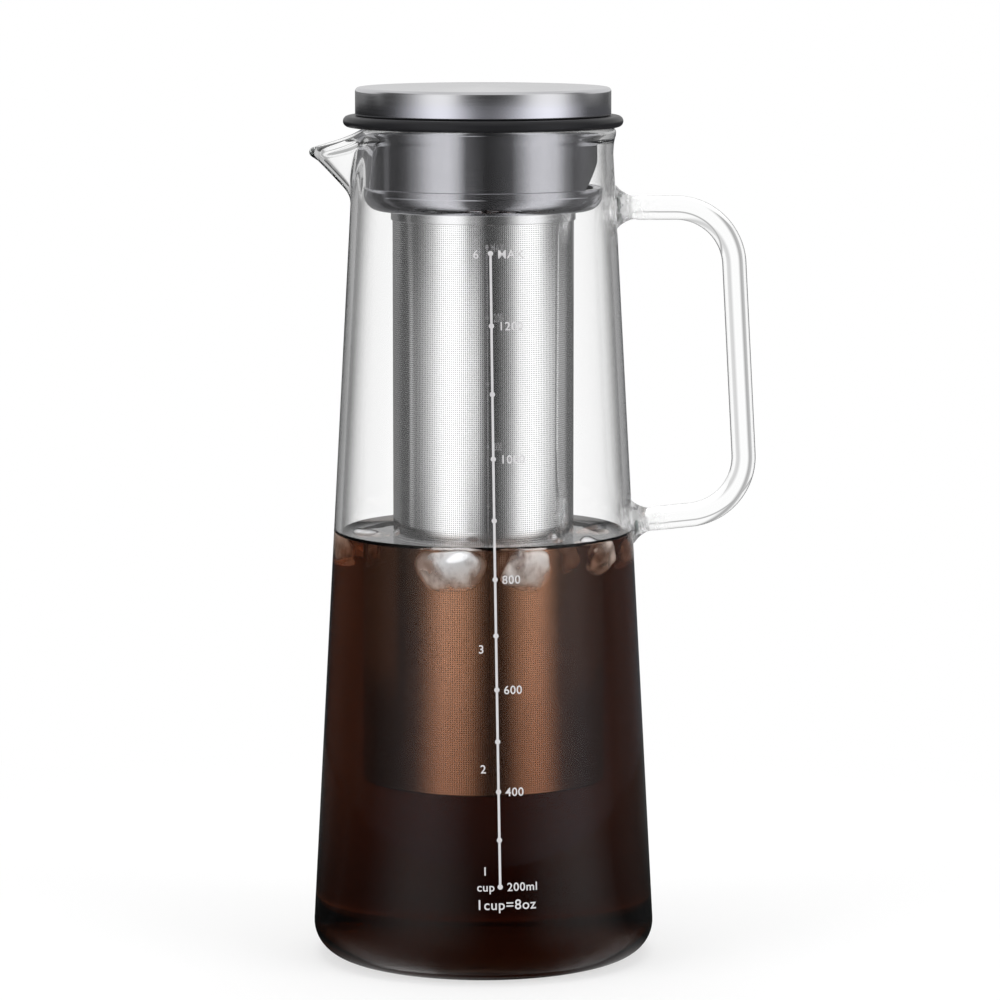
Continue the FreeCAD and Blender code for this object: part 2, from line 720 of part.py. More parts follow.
def pour_skirt():
    """Steel sleeve below the lid, with a rolled gasket groove and one pouring window."""
    outside = D["skirt_radius"]
    groove = GASKET_RADIUS + D["running_gap"] / 2
    roll = groove + D["skirt_sheet"]
    top = SEAL_UNDERSIDE - D["seat_gap"]
    foot = GASKET_LEVEL - roll - D["seat_gap"]
    outline = turned_outline("pour_skirt")
    outline.corner(SKIRT_BORE, foot)
    outline.corner(outside, foot)
    outline.corner(outside, GASKET_LEVEL - groove)
    outline.corner(GASKET_RING, GASKET_LEVEL - groove)
    outline.bend(GASKET_RING - groove, GASKET_LEVEL, groove, -1)
    outline.bend(GASKET_RING, GASKET_LEVEL + groove, groove, -1)
    outline.corner(outside, GASKET_LEVEL + groove)
    outline.corner(outside, top)
    outline.corner(SKIRT_BORE, top)
    outline.corner(SKIRT_BORE, GASKET_LEVEL + roll)
    outline.corner(GASKET_RING, GASKET_LEVEL + roll)
    outline.bend(GASKET_RING - roll, GASKET_LEVEL, roll, 1)
    outline.bend(GASKET_RING, GASKET_LEVEL - roll, roll, 1)
    outline.corner(SKIRT_BORE, GASKET_LEVEL - roll)
    turned_piece("pour_skirt", outline)
    body = outline.body

    sill = CUP_RIM - D["seat_gap"]
    head = sill + D["window_top"]
    narrow, wide, corner = D["window_half_top"], D["window_half_bottom"], D["window_corner"]
    window = Outline(body, "window_outline", "YZ_Plane")
    window.corner(-wide, sill)
    window.corner(wide, sill)
    window.corner(narrow, sill + D["window_shoulder"])
    window.corner(narrow, head - corner)
    window.bend(narrow - corner, head, corner, 1)
    window.corner(corner - narrow, head)
    window.bend(-narrow, head - corner, corner, 1)
    window.corner(-narrow, sill + D["window_shoulder"])
    sketch = window.close()
    pocket = body.newObject("PartDesign::Pocket", "window")
    pocket.Profile = sketch
    pocket.Reversed = True
    pocket.setExpression("Length", (outside + D["skirt_sheet"]).text)
    sketch.Visibility = False
    doc.recompute()
    return body


def filter_gasket():
    """Silicone ring of round section in the skirt's rolled groove."""
    ring = doc.addObject("Part::Torus", "filter_gasket")
    ring.Label = "filter_gasket"
    ring.setExpression("Radius1", GASKET_RING.text)
    ring.setExpression("Radius2", GASKET_RADIUS.text)
    ring.setExpression("Placement.Base.z", GASKET_LEVEL.text)
    doc.recompute()
    return ring


# ---------------------------------------------------------------- filter


def filter_cup():
    """Spun dish that closes the skirt from below and carries the tube in its collar."""
    sheet_metal = D["cup_sheet"]
    inner_corner = D["cup_corner"] - sheet_metal
    collar = D["tube_radius"]
    outline = turned_outline("filter_cup")
    outline.corner(collar, CUP_UNDERSIDE - D["cup_neck"])
    outline.corner(collar + sheet_metal, CUP_UNDERSIDE - D["cup_neck"])
    outline.corner(collar + sheet_metal, CUP_UNDERSIDE)
    outline.corner(CUP_RADIUS - D["cup_corner"], CUP_UNDERSIDE)
    outline.bend(CUP_RADIUS, CUP_SHOULDER, D["cup_corner"], 1)
    outline.corner(CUP_RADIUS, CUP_RIM)
    outline.corner(CUP_BORE, CUP_RIM)
    outline.corner(CUP_BORE, CUP_SHOULDER)
    outline.bend(CUP_BORE - inner_corner, CUP_FLOOR, inner_corner, -1)
    outline.corner(collar, CUP_FLOOR)
    turned_piece("filter_cup", outline)
    return outline.body


def filter_tube():
    """Thin mesh tube, hanging in the collar of the cup."""
    foot = D["filter_floor"] + D["base_sheet"]
    outline = turned_outline("filter_tube")
    outline.corner(D["tube_radius"] - D["tube_sheet"], foot)
    outline.corner(D["tube_radius"], foot)
    outline.corner(D["tube_radius"], CUP_FLOOR)
    outline.corner(D["tube_radius"] - D["tube_sheet"], CUP_FLOOR)
    turned_piece("filter_tube", outline)
    return outline.body


def filter_base():
    """Disc that closes the tube, its turned-up edge inside the tube."""
    sheet_metal = D["base_sheet"]
    floor = D["filter_floor"]
    upstand = D["tube_radius"] - D["tube_sheet"]
    bend = sheet_metal * 2
    outline = turned_outline("filter_base")
    outline.corner(0, floor)
    outline.corner(D["tube_radius"], floor)
    outline.corner(D["tube_radius"], floor + sheet_metal)
    outline.corner(upstand, floor + sheet_metal)
    outline.corner(upstand, floor + D["base_upstand"])
    outline.corner(upstand - sheet_metal, floor + D["base_upstand"])
    outline.corner(upstand - sheet_metal, floor + sheet_metal + bend)
    outline.bend(upstand - sheet_metal - bend, floor + sheet_metal, bend, -1)
    outline.corner(0, floor + sheet_metal)
    turned_piece("filter_base", outline)
    return outline.body


# ---------------------------------------------------------------- build, check and write


def check(pieces):
    """Stops before anything is written if a feature failed or a piece isn't one sound solid."""
    for feature in doc.Objects:
        bad = [state for state in feature.State if state in ("Invalid", "Error")]
        if bad:
            raise RuntimeError(f"{feature.Name}: {bad}")
    for piece in pieces:
        shape = piece.Shape
        if shape.isNull() or not shape.isValid() or len(shape.Solids) != 1:
            raise RuntimeError(f"{piece.Label} isn't one valid solid")
        box = shape.optimalBoundingBox(False)
        print(
            f"{piece.Label:14s} volume {shape.Volume:9.1f} mm3, "
            f"x {box.XMin:.2f} to {box.XMax:.2f}, z {box.ZMin:.2f} to {box.ZMax:.2f}"
        )


def main():
    pieces = [
        carafe_body(),
        handle(),
        rim_seal(),
        cap_shell(),
        lid_core(),
        pour_skirt(),
        filter_gasket(),
        filter_cup(),
        filter_tube(),
        filter_base(),
    ]
    doc.recompute()
    check(pieces)
    os.makedirs("parts", exist_ok=True)
    for piece in pieces:
        piece.Shape.exportStep(f"parts/{piece.Label}.step")


main()
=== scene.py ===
import math

import bmesh
import bpy
import numpy as np
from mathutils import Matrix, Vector


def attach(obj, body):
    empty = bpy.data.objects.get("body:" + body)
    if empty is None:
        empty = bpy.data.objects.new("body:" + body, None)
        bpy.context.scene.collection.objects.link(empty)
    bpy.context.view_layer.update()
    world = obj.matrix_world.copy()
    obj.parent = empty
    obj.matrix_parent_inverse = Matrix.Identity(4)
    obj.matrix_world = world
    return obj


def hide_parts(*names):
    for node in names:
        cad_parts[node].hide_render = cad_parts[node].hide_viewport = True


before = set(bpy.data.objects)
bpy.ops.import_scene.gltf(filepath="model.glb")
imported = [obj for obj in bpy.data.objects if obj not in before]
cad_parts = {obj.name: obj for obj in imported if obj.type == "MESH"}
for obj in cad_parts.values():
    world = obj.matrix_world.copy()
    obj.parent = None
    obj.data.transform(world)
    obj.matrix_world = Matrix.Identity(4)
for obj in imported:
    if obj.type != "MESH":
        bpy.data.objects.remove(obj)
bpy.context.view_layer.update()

# Cold brew coffee maker: finish, dense glass, coffee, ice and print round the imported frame. The object's
# sizes are in millimetres and degrees, and new_piece() turns them into metres. Materials, lamps, floor and
# camera are in metres. The handle is on +X, the spout on -X, and the printed scale faces -Y, the camera.

MM = 0.001

# ---------------- sizes, as in the CAD source

RIM = 249.0
BASE_RADIUS = 51.75
NECK_RADIUS = 38.25
FOOT_CORNER = 9.6
GLASS_WALL = 2.1
FLOOR = 3.2
BEAD = 1.5
BEAD_OVERHANG = 1.15
SPOUT_REACH = 51.7
SPOUT_DROP = 20.0
TIP_DROP = 7.5
SPOUT_HALF = 29.0
ROOT_HALF = 11.0
ROD = 3.6
HANDLE_TOP = 225.0
HANDLE_ROOT = 131.0
GRIP_GAP = 30.8
LOWER_RISE = 6.0
HANDLE_BEND = 17.5
WELD_FLARE = 3.0
WELD_REACH = 6.5  # how far out of the wall the drawn glass of a weld reaches
SEAL_RADIUS = 41.65
SEAL_THICKNESS = 3.3
CAP_RADIUS = 38.05
CAP_HEIGHT = 8.6
CAP_CROWN = 0.3
CAP_EDGE = 1.2
CAP_SHEET = 0.6
HEM_WIDTH = 1.7
SKIRT_RADIUS = 34.92
SKIRT_SHEET = 0.6
WINDOW_NARROW = 11.4
WINDOW_WIDE = 18.8
WINDOW_SHOULDER = 8.0
WINDOW_HEAD = 15.0
WINDOW_CORNER = 2.5
GASKET = 1.5
CUP_RIM = RIM - 17.7
CUP_DEPTH = 6.9
CUP_CORNER = 4.8
CUP_SHEET = 0.5
CUP_NECK = 2.8
TUBE_RADIUS = 27.0
TUBE_SHEET = 0.4
FILTER_FLOOR = 52.6
BASE_SHEET = 0.5
BASE_UPSTAND = 4.5
SEAT_GAP = 0.1
RUNNING_GAP = 0.08

TAPER = (BASE_RADIUS - NECK_RADIUS) / RIM
SLANT = math.hypot(1, TAPER)
LIP_LEVEL = RIM - BEAD
SPOUT_ROOT = RIM - SPOUT_DROP
SEAL_BOTTOM = RIM + SEAT_GAP
SEAL_TOP = SEAL_BOTTOM + SEAL_THICKNESS
CAP_BOTTOM = SEAL_TOP + SEAT_GAP
CAP_TOP = CAP_BOTTOM + CAP_HEIGHT

# looks
COFFEE_LEVEL = 127.0
MENISCUS = 1.7  # how far the coffee climbs at the glass
EDGE_SHADE_GREY = 0.12  # painted shade: colour that the glass tends to at its grazing edges
GLASS_GLOSS = 0.35  # share of clear glass's reflection that the fire-polished wall keeps
SEEDS_LOW, SEEDS_HIGH = 0.05, 0.4  # share of the light that the seedy glass of the welds scatters
WELD_NEAR, WELD_FAR = 6.0, 14.0  # distance from a weld's middle over which its looks fade out
MESH_PITCH = 0.62  # from hole to hole of the etched screen
ROUND_STEPS = 256  # steps round a turned piece
WHITE = (1, 1, 1, 1)
BLACK = (0, 0, 0, 1)


def outer_wall(z):
    """Radius of the straight glass wall at a height."""
    return BASE_RADIUS - TAPER * z


def inner_wall(z):
    return outer_wall(z) - GLASS_WALL * SLANT


def middle_wall(z):
    return outer_wall(z) - GLASS_WALL / 2 * SLANT


# ---------------- mesh helpers


def linked(name, data):
    thing = bpy.data.objects.new(name, data)
    bpy.context.scene.collection.objects.link(thing)
    return thing


def circle(radius, steps):
    turns = [2 * math.pi * j / steps for j in range(steps)]
    return [(radius * math.cos(turn), radius * math.sin(turn)) for turn in turns]


def new_piece(name, vertices, faces, body, material, slot=None, crease=35.0):
    """A mesh piece, smooth apart from edges sharper than the crease angle."""
    mesh = bpy.data.meshes.new(name)
    mesh.from_pydata([(x * MM, y * MM, z * MM) for x, y, z in vertices], [], faces)
    mesh.validate()
    piece = linked(name, mesh)
    clean_normals(mesh)
    mesh.shade_smooth()
    mesh.set_sharp_from_angle(angle=math.radians(crease))
    if body is not None:
        finish_piece(piece, body, material)
    return piece


def finish_piece(piece, body, material):
    piece.data.materials.clear()
    piece.data.materials.append(material)
    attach(piece, body)


def clean_normals(mesh):
    work = bmesh.new()
    work.from_mesh(mesh)
    bmesh.ops.recalc_face_normals(work, faces=work.faces)
    work.to_mesh(mesh)
    work.free()


def ring_faces(rows, columns):
    """Quads between rings whose vertices are stored ring by ring."""
    faces = []
    for start in range(0, (rows - 1) * columns, columns):
        for j in range(columns):
            k = (j + 1) % columns
            faces.append((start + j, start + k, start + columns + k, start + columns + j))
    return faces


def arc(cx, cz, radius, start, end, steps):
    """Points of an arc in a half section, its ends included."""
    turns = [math.radians(start + (end - start) * i / steps) for i in range(steps + 1)]
    return [(cx + radius * math.cos(t), cz + radius * math.sin(t)) for t in turns]


def turned(name, outline, body, material, slot=None, crease=35.0, steps=ROUND_STEPS):
    """A closed half section turned about the axis."""
    vertices, index = [], []
    for radius, z in outline:
        if radius < 1e-6:
            index.append([len(vertices)] * steps)
            vertices.append((0.0, 0.0, z))
            continue
        index.append(list(range(len(vertices), len(vertices) + steps)))
        vertices += [(x, y, z) for x, y in circle(radius, steps)]
    faces = []
    for first, second in zip(index, index[1:] + index[:1]):
        for j in range(steps):
            k = (j + 1) % steps
            corners = list(dict.fromkeys((first[j], first[k], second[k], second[j])))
            if len(corners) > 2:
                faces.append(corners)
    return new_piece(name, vertices, faces, body, material, slot, crease)


def boolean(piece, tool, operation):
    """Joins or cuts a piece by a tool, which is then removed."""
    modifier = piece.modifiers.new(operation, "BOOLEAN")
    modifier.operation = operation
    modifier.solver = "MANIFOLD"
    modifier.object = tool
    bpy.context.view_layer.update()
    graph = bpy.context.evaluated_depsgraph_get()
    mesh = bpy.data.meshes.new_from_object(piece.evaluated_get(graph))
    piece.modifiers.clear()
    mesh.shade_smooth()
    piece.data = mesh
    bpy.data.objects.remove(tool)


# ---------------- material helpers


def grey(level):
    return level, level, level, 1


class Shader:
    """A material's node tree, with short ways to add and join nodes."""

    def __init__(self, name):
        self.material = bpy.data.materials.new(name)
        self.material.use_nodes = True
        self.tree = self.material.node_tree
        self.bsdf = self.tree.nodes["Principled BSDF"]
        self.output = self.tree.nodes["Material Output"]

    def add(self, kind, inputs=None, **settings):
        """A node; inputs maps socket names or numbers to values or sockets."""
        node = self.tree.nodes.new("ShaderNode" + kind)
        for key, value in settings.items():
            setattr(node, key, value)
        for key, value in (inputs or {}).items():
            self.put(node.inputs[key], value)
        return node

    def put(self, socket, value):
        if isinstance(value, bpy.types.NodeSocket):
            self.tree.links.new(value, socket)
        else:
            socket.default_value = value

    def set(self, **values):
        """Sets Principled sockets, named with underscores for spaces."""
        for key, value in values.items():
            self.put(self.bsdf.inputs[key.replace("_", " ")], value)

    def place(self, kind="Object"):
        """(vector, x, y, z) of a texture coordinate."""
        vector = self.add("TexCoord").outputs[kind]
        return vector, *self.add("SeparateXYZ", {0: vector}).outputs

    def math(self, operation, first, second=0.0, third=0.0):
        return self.add("Math", {0: first, 1: second, 2: third}, operation=operation).outputs[0]

    def times(self, first, second):
        return self.math("MULTIPLY", first, second)

    def most(self, first, second):
        return self.math("MAXIMUM", first, second)

    def inverse(self, share):
        return self.math("SUBTRACT", 1.0, share)

    def noise(self, scale, detail=2.0, stretch=(1, 1, 1), coordinates=None):
        """Object-space noise, its scale in cycles for each metre."""
        source = coordinates or self.add("TexCoord").outputs["Object"]
        mapping = self.add("Mapping", {"Vector": source, "Scale": stretch})
        settings = {"Vector": mapping.outputs[0], "Scale": scale, "Detail": detail}
        return self.add("TexNoise", settings).outputs["Fac"]

    def ramp(self, value, low, high, start, end, kind="LINEAR"):
        """Goes from start to end while a value goes from low to high."""
        limits = {"Value": value, "From Min": low, "From Max": high, "To Min": start, "To Max": end}
        return self.add("MapRange", limits, interpolation_type=kind).outputs[0]

    def ease(self, value, low, high, start=0.0, end=1.0):
        return self.ramp(value, low, high, start, end, "SMOOTHSTEP")

    def span(self, share, start, end):
        return self.ramp(share, 0.0, 1.0, start, end)

    def fade(self, value, low, high):
        """1 under low, 0 over high."""
        return self.ease(value, low, high, 1.0, 0.0)

    def choose(self, switch, low, high):
        """The number low where a switch is 0, high where it is 1."""
        return self.add("Mix", {0: switch, 2: low, 3: high}).outputs[0]

    def mix(self, factor, first, second):
        node = self.add("Mix", {"Factor": factor}, data_type="RGBA")
        self.put(node.inputs["A"], first)
        self.put(node.inputs["B"], second)
        return node.outputs["Result"]

    def turn_share(self, x, y):
        """Direction round the axis as a share of a turn; 0.5 is the camera's."""
        turn = self.math("ARCTAN2", x, self.times(y, -1.0))
        return self.math("ADD", self.math("DIVIDE", turn, 2 * math.pi), 0.5)

    def bands(self, share, levels):
        ramp = self.add("ValToRGB", {0: share})
        stops = ramp.color_ramp.elements
        while len(stops) > 1:
            stops.remove(stops[-1])
        for i, (azimuth, level) in enumerate(levels.items()):
            position = (azimuth + 180) / 360
            stop = stops[0] if i == 0 else stops.new(position)
            stop.position = position
            stop.color = grey(level)
        return ramp.outputs[0]

    def bump(self, height, strength, distance):
        settings = {"Height": height, "Strength": strength, "Distance": distance}
        return self.add("Bump", settings).outputs[0]

    def absorb(self, colour, density):
        volume = self.add("VolumeAbsorption", {"Color": colour, "Density": density})
        self.put(self.output.inputs["Volume"], volume.outputs[0])

    def around(self, radius):
        """(distance round the axis at a radius, height, both as a vector), in metres."""
        _, x, y, z = self.place()
        along = self.times(self.math("ARCTAN2", y, x), radius)
        return along, z, self.add("CombineXYZ", {"X": along, "Y": z}).outputs[0]


def wet_glass(s, x, y, z):
    """(1 where coffee wets the glass, 1 everywhere under the coffee's level)."""
    across = s.math("SQRT", s.math("ADD", s.math("POWER", x, 2.0), s.math("POWER", y, 2.0)))
    cone = s.math("ADD", across, s.times(z, TAPER))
    inside = s.math("LESS_THAN", cone, (BASE_RADIUS - GLASS_WALL / 2) * MM)
    under = s.math("LESS_THAN", z, (COFFEE_LEVEL + MENISCUS) * MM)
    above = s.math("GREATER_THAN", z, FLOOR / 2 * MM)
    return s.times(inside, s.times(under, above)), under


def weld_share(s, place):
    """1 in the handle's two welds, 0 away from them."""
    worked = 0.0
    for height in (HANDLE_TOP, HANDLE_ROOT):
        weld = (outer_wall(height) * MM, 0.0, height * MM)
        away = s.add("VectorMath", {0: place, 1: weld}, operation="DISTANCE").outputs["Value"]
        worked = s.most(s.fade(away, WELD_NEAR * MM, WELD_FAR * MM), worked)
    return worked


def glass_material():
    """Borosilicate: wavy, with painted grey shade at its grazing edges, seedy at the welds, without gloss
    where wet.
    """
    s = Shader("borosilicate_glass")
    s.set(Roughness=0.0, IOR=1.47)
    place, x, y, z = s.place()
    wet, under = wet_glass(s, x, y, z)
    s.set(Specular_Tint=s.mix(wet, grey(GLASS_GLOSS), BLACK))
    worked = weld_share(s, place)
    # painted shade: the glass's colour darkens to grey at grazing edges, above the coffee and away from the
    # welds
    facing = s.add("LayerWeight", {"Blend": 0.5}).outputs["Facing"]
    edge = s.times(s.times(s.ease(facing, 0.4, 1.0), s.inverse(under)), s.inverse(worked))
    s.set(Base_Color=s.mix(edge, WHITE, grey(EDGE_SHADE_GREY)))
    seed_scale, wave_scale = 300.0, 26.0
    wave_height, tool_height = 0.12, 0.6
    seeds = s.ease(s.noise(seed_scale, 2.0), 0.35, 0.65, SEEDS_LOW, SEEDS_HIGH)
    s.set(Transmission_Weight=s.inverse(s.times(worked, seeds)))
    blown = s.times(s.noise(wave_scale, 1.0, stretch=(1, 1, 0.25)), wave_height)
    tooled = s.times(s.noise(seed_scale, 1.0), s.times(worked, tool_height))
    s.set(Normal=s.bump(s.math("ADD", blown, tooled), strength=1.0, distance=0.0006))
    s.absorb((0.88, 0.95, 0.93, 1), density=3.0)
    return s.material


def coffee_material():
    s = Shader("cold_brew")
    s.set(Base_Color=WHITE, Roughness=0.0, IOR=1.333, Transmission_Weight=1.0, Specular_Tint=grey(0.1))
    s.set(Normal=s.bump(s.noise(70.0, 2.0), strength=0.10, distance=0.001))
    s.absorb((0.55, 0.26, 0.04, 1), density=70.0)
    return s.material


def ice_material():
    """Melting ice, cloudy in its core."""
    s = Shader("melting_ice")
    clear, cloudy = 0.38, 0.60  # levels of the noise
    cloud = s.ease(s.noise(110.0, 5.0, stretch=(1, 1, 0.6)), clear, cloudy, 0.05, 1.0)
    facing = s.add("LayerWeight", {"Blend": 0.5}).outputs["Facing"]
    core = s.fade(facing, 0.15, 0.75)
    s.set(Base_Color=(0.98, 0.985, 1, 1), IOR=1.01, Specular_Tint=grey(0.1))
    s.set(Transmission_Weight=s.inverse(s.times(cloud, core)))
    s.set(Roughness=s.span(s.noise(160.0, 3.0), 0.02, 0.3))
    s.set(Normal=s.bump(s.noise(120.0, 3.0), strength=0.5, distance=0.0015))
    return s.material


def steel_material(name, colour, roughness, spread, anisotropy, grain=900.0, stains=60.0):
    """Sheet steel with its grain round the axis."""
    s = Shader(name)
    grain_radius = 0.035
    _, _, vector = s.around(grain_radius)
    fine = s.noise(grain, 1.0, stretch=(0.02, 1, 1), coordinates=vector)
    coarse = s.noise(stains, 2.0, stretch=(0.25, 1, 1), coordinates=vector)
    s.set(Metallic=1.0, Anisotropic=anisotropy)
    dark = tuple(c * 0.9 for c in colour[:3]) + (1,)
    s.set(Base_Color=s.mix(coarse, dark, colour))
    s.set(Roughness=s.span(fine, roughness, roughness + spread))
    s.set(Normal=s.bump(fine, strength=0.05, distance=0.0001))
    s.set(Tangent=s.add("Tangent", direction_type="RADIAL", axis="Z").outputs[0])
    return s.material


def mesh_material():
    s = Shader("etched_mesh")
    hole_edge = (0.20, 0.30)  # radii of a hole's soft edge, as shares of a cell
    along, height, vector = s.around(TUBE_RADIUS * MM)
    squares = []
    for coordinate in (along, height):
        share = s.math("DIVIDE", coordinate, MESH_PITCH * MM)
        squares.append(s.math("POWER", s.math("SUBTRACT", s.math("FRACT", share), 0.5), 2.0))
    distance = s.math("SQRT", s.math("ADD", *squares))
    shaded_hole = s.ramp(distance, *hole_edge, 1.0, 0.0)
    stain = s.noise(60.0, 3.0, coordinates=vector)
    steel = s.mix(stain, (0.88, 0.88, 0.89, 1), grey(0.95))
    # painted shade: the holes are painted a darker grey for the shaded inside of the screen seen through
    # them
    s.set(Base_Color=s.mix(shaded_hole, steel, (0.48, 0.48, 0.49, 1)))
    s.set(Metallic=1.0, Roughness=s.span(stain, 0.07, 0.12))
    s.set(Normal=s.bump(s.inverse(shaded_hole), strength=0.2, distance=0.00012))
    return s.material


def silicone_material():
    s = Shader("black_silicone")
    s.set(Base_Color=s.mix(s.noise(90.0), (0.010, 0.010, 0.011, 1), (0.018, 0.018, 0.020, 1)))
    s.set(Roughness=s.span(s.noise(400.0, 3.0), 0.3, 0.42), IOR=1.42, Specular_IOR_Level=0.22)
    s.set(Normal=s.bump(s.noise(1500.0, 2.0), strength=0.08, distance=0.0002))
    return s.material


def moulding_material():
    s = Shader("black_moulding")
    s.set(Base_Color=s.mix(s.noise(60.0), (0.02, 0.02, 0.022, 1), (0.03, 0.03, 0.032, 1)))
    s.set(Roughness=s.span(s.noise(900.0, 3.0), 0.4, 0.55), IOR=1.49)
    s.set(Normal=s.bump(s.noise(3000.0, 2.0), strength=0.15, distance=0.0002))
    return s.material


def print_material():
    s = Shader("scale_print")
    s.set(Base_Color=s.mix(s.noise(700.0, 3.0), (0.56, 0.55, 0.56, 1), (0.66, 0.65, 0.66, 1)))
    s.set(Roughness=0.45)
    return s.material


# ---------------- glass carafe

SPOUT_COLUMNS, WALL_COLUMNS = 141, 224  # points of a ring at the spout, and round the rest
WALL_STEPS, SPOUT_STEPS = 54, 46  # rings under the spout, and beside it
BEAD_BLEND = 3.0  # run over which the wall swells to the rim bead
FLAT_RINGS = (8.0, 16.0, 24.0, 32.0)  # radii of rings in the flat of foot and floor


def smoothstep(value):
    value = np.clip(value, 0.0, 1.0)
    return value * value * (3 - 2 * value)


def lip(angle):
    """(radius, height) of the rim bead's centre at an angle from the spout's middle line."""
    ring = outer_wall(LIP_LEVEL) + BEAD_OVERHANG - BEAD
    share = np.clip(np.abs(angle) / SPOUT_HALF, 0, 1)
    bump = np.cos(np.radians(90 * share)) ** 4
    radius = ring + (SPOUT_REACH - BEAD - ring) * bump
    return radius, LIP_LEVEL - (TIP_DROP - BEAD) * np.sqrt(bump)


def spout_bulge(angle, z):
    """How far the middle of the glass stands out of the cone at the spout."""
    blend = 3.0  # half the height over which the spout leaves the wall
    above = z - SPOUT_ROOT
    eased = np.where(above > blend, above, np.clip(above + blend, 0, None) ** 2 / (4 * blend))
    tip_slope = (SPOUT_REACH - BEAD * 0.75 - outer_wall(SPOUT_ROOT)) / (SPOUT_DROP - TIP_DROP)
    half = ROOT_HALF + (SPOUT_HALF - ROOT_HALF) * np.clip(above / SPOUT_DROP, 0, 1)
    share = np.clip(np.abs(angle) / half, 0, 1)
    return (tip_slope + TAPER) * eased * np.cos(np.radians(90 * share)) ** 4


def glass_middle(angles):
    """The glass's middle surface above the foot, a column of points for each angle."""
    wall_start, spout_start = 12.5, SPOUT_ROOT - 4.0
    crowding = 1.4  # how much closer the rings stand towards the lip
    lean_run = 7.0  # height over which the throat opens to the rim bead
    radius_lip, z_lip = lip(angles)
    share = 1 - (1 - np.linspace(0, 1, SPOUT_STEPS)) ** crowding
    z = np.empty((len(angles), WALL_STEPS + SPOUT_STEPS))
    z[:, :WALL_STEPS] = np.linspace(wall_start, spout_start, WALL_STEPS, endpoint=False)
    z[:, WALL_STEPS:] = spout_start + (z_lip[:, None] - spout_start) * share
    lean = lip(np.array([180.0]))[0][0] - middle_wall(LIP_LEVEL)

    def formed(angle, height):
        leaning = lean * smoothstep((height - LIP_LEVEL + lean_run) / lean_run)
        return middle_wall(height) + leaning + spout_bulge(angle, height)

    radius = formed(angles[:, None], z)
    rest = radius_lip - formed(angles, z_lip)
    radius[:, WALL_STEPS:] += rest[:, None] * share**3
    turn = np.radians(180.0 + angles)[:, None]
    return np.stack([radius * np.cos(turn), radius * np.sin(turn), z], axis=2)


def unit(vectors):
    return vectors / np.linalg.norm(vectors, axis=-1, keepdims=True)


def skin_directions(middle):
    """Unit vectors at each point of the glass: out of it, and up along it."""
    along = unit(np.roll(middle, -1, axis=0) - np.roll(middle, 1, axis=0))
    normal = unit(np.cross(along, unit(np.gradient(middle, axis=1))))
    return normal, unit(np.cross(normal, along))


def half_wall(middle):
    """Half of the glass's thickness, which swells to the bead at the lip."""
    steps = np.linalg.norm(np.diff(middle, axis=1), axis=2)
    to_lip = np.zeros(middle.shape[:2])
    to_lip[:, :-1] = np.cumsum(steps[:, ::-1], axis=1)[:, ::-1]
    half = GLASS_WALL / 2 + (BEAD - GLASS_WALL / 2) * (1 - smoothstep(to_lip / BEAD_BLEND))
    return half[:, :, None]


def foot_outlines():
    """(radius, height) points of the foot, from its middle out, and of the hollow, back in."""
    lean_angle = math.degrees(math.atan(TAPER))
    corner = FOOT_CORNER - GLASS_WALL
    foot_x = BASE_RADIUS - FOOT_CORNER * (SLANT + TAPER)
    hollow_x = inner_wall(FLOOR) - corner * (SLANT + TAPER)
    foot = [(radius, 0.0) for radius in FLAT_RINGS]
    foot += arc(foot_x, FOOT_CORNER, FOOT_CORNER, -90, lean_angle, 14)
    hollow = arc(hollow_x, FLOOR + corner, corner, lean_angle, -90, 12)
    hollow += [(radius, FLOOR) for radius in reversed(FLAT_RINGS)]
    return foot, hollow


def carafe_rings():
    """Rings of the glass skin: foot, outside, beaded lip, inside and inner floor."""
    spread = SPOUT_HALF + 3.0
    fine = np.linspace(-spread, spread, SPOUT_COLUMNS)
    coarse = np.linspace(spread, 360 - spread, WALL_COLUMNS)[1:-1]
    angles = np.concatenate([fine, np.where(coarse > 180, coarse - 360, coarse)])
    turn = np.radians(180.0 + angles)
    middle = glass_middle(angles)
    normal, up = skin_directions(middle)
    half = half_wall(middle)
    foot, hollow = foot_outlines()
    bead_steps = 14

    def level_ring(radius, z):
        return np.stack([radius * np.cos(turn), radius * np.sin(turn), np.full(len(turn), z)], 1)

    rings = [level_ring(radius, z) for radius, z in foot]
    rings += list(np.swapaxes(middle + normal * half, 0, 1))
    for k in range(1, bead_steps):
        t = math.pi * k / bead_steps
        over = normal[:, -1] * math.cos(t) + up[:, -1] * math.sin(t)
        rings.append(middle[:, -1] + over * BEAD)
    rings += list(np.swapaxes(middle - normal * half, 0, 1))[::-1]
    rings += [level_ring(radius, z) for radius, z in hollow]
    return rings


def carafe_mesh():
    """The glass skin, closed by fans under the foot and on the floor."""
    rings = carafe_rings()
    columns = len(rings[0])
    vertices = [tuple(p) for ring in rings for p in ring]
    faces = ring_faces(len(rings), columns)
    bottom, top = len(vertices), len(vertices) + 1
    vertices += [(0.0, 0.0, 0.0), (0.0, 0.0, FLOOR)]
    last = (len(rings) - 1) * columns
    for j in range(columns):
        faces.append((bottom, (j + 1) % columns, j))
        faces.append((top, last + j, last + (j + 1) % columns))
    return vertices, faces


def handle_bend(before, corner, after):
    """The arc that rounds a corner of the rod's centre line."""
    back, ahead = (before - corner).normalized(), (after - corner).normalized()
    half = back.angle(ahead) / 2
    run = HANDLE_BEND / math.tan(half)
    centre = corner + (back + ahead).normalized() * (HANDLE_BEND / math.sin(half))
    start, end = corner + back * run - centre, corner + ahead * run - centre
    sweep = start.angle_signed(end)
    steps = 36
    points = []
    for i in range(steps + 1):
        turn = -sweep * i / steps
        cos, sin = math.cos(turn), math.sin(turn)
        points.append(centre + Vector((start.x * cos - start.y * sin, start.x * sin + start.y * cos)))
    return points


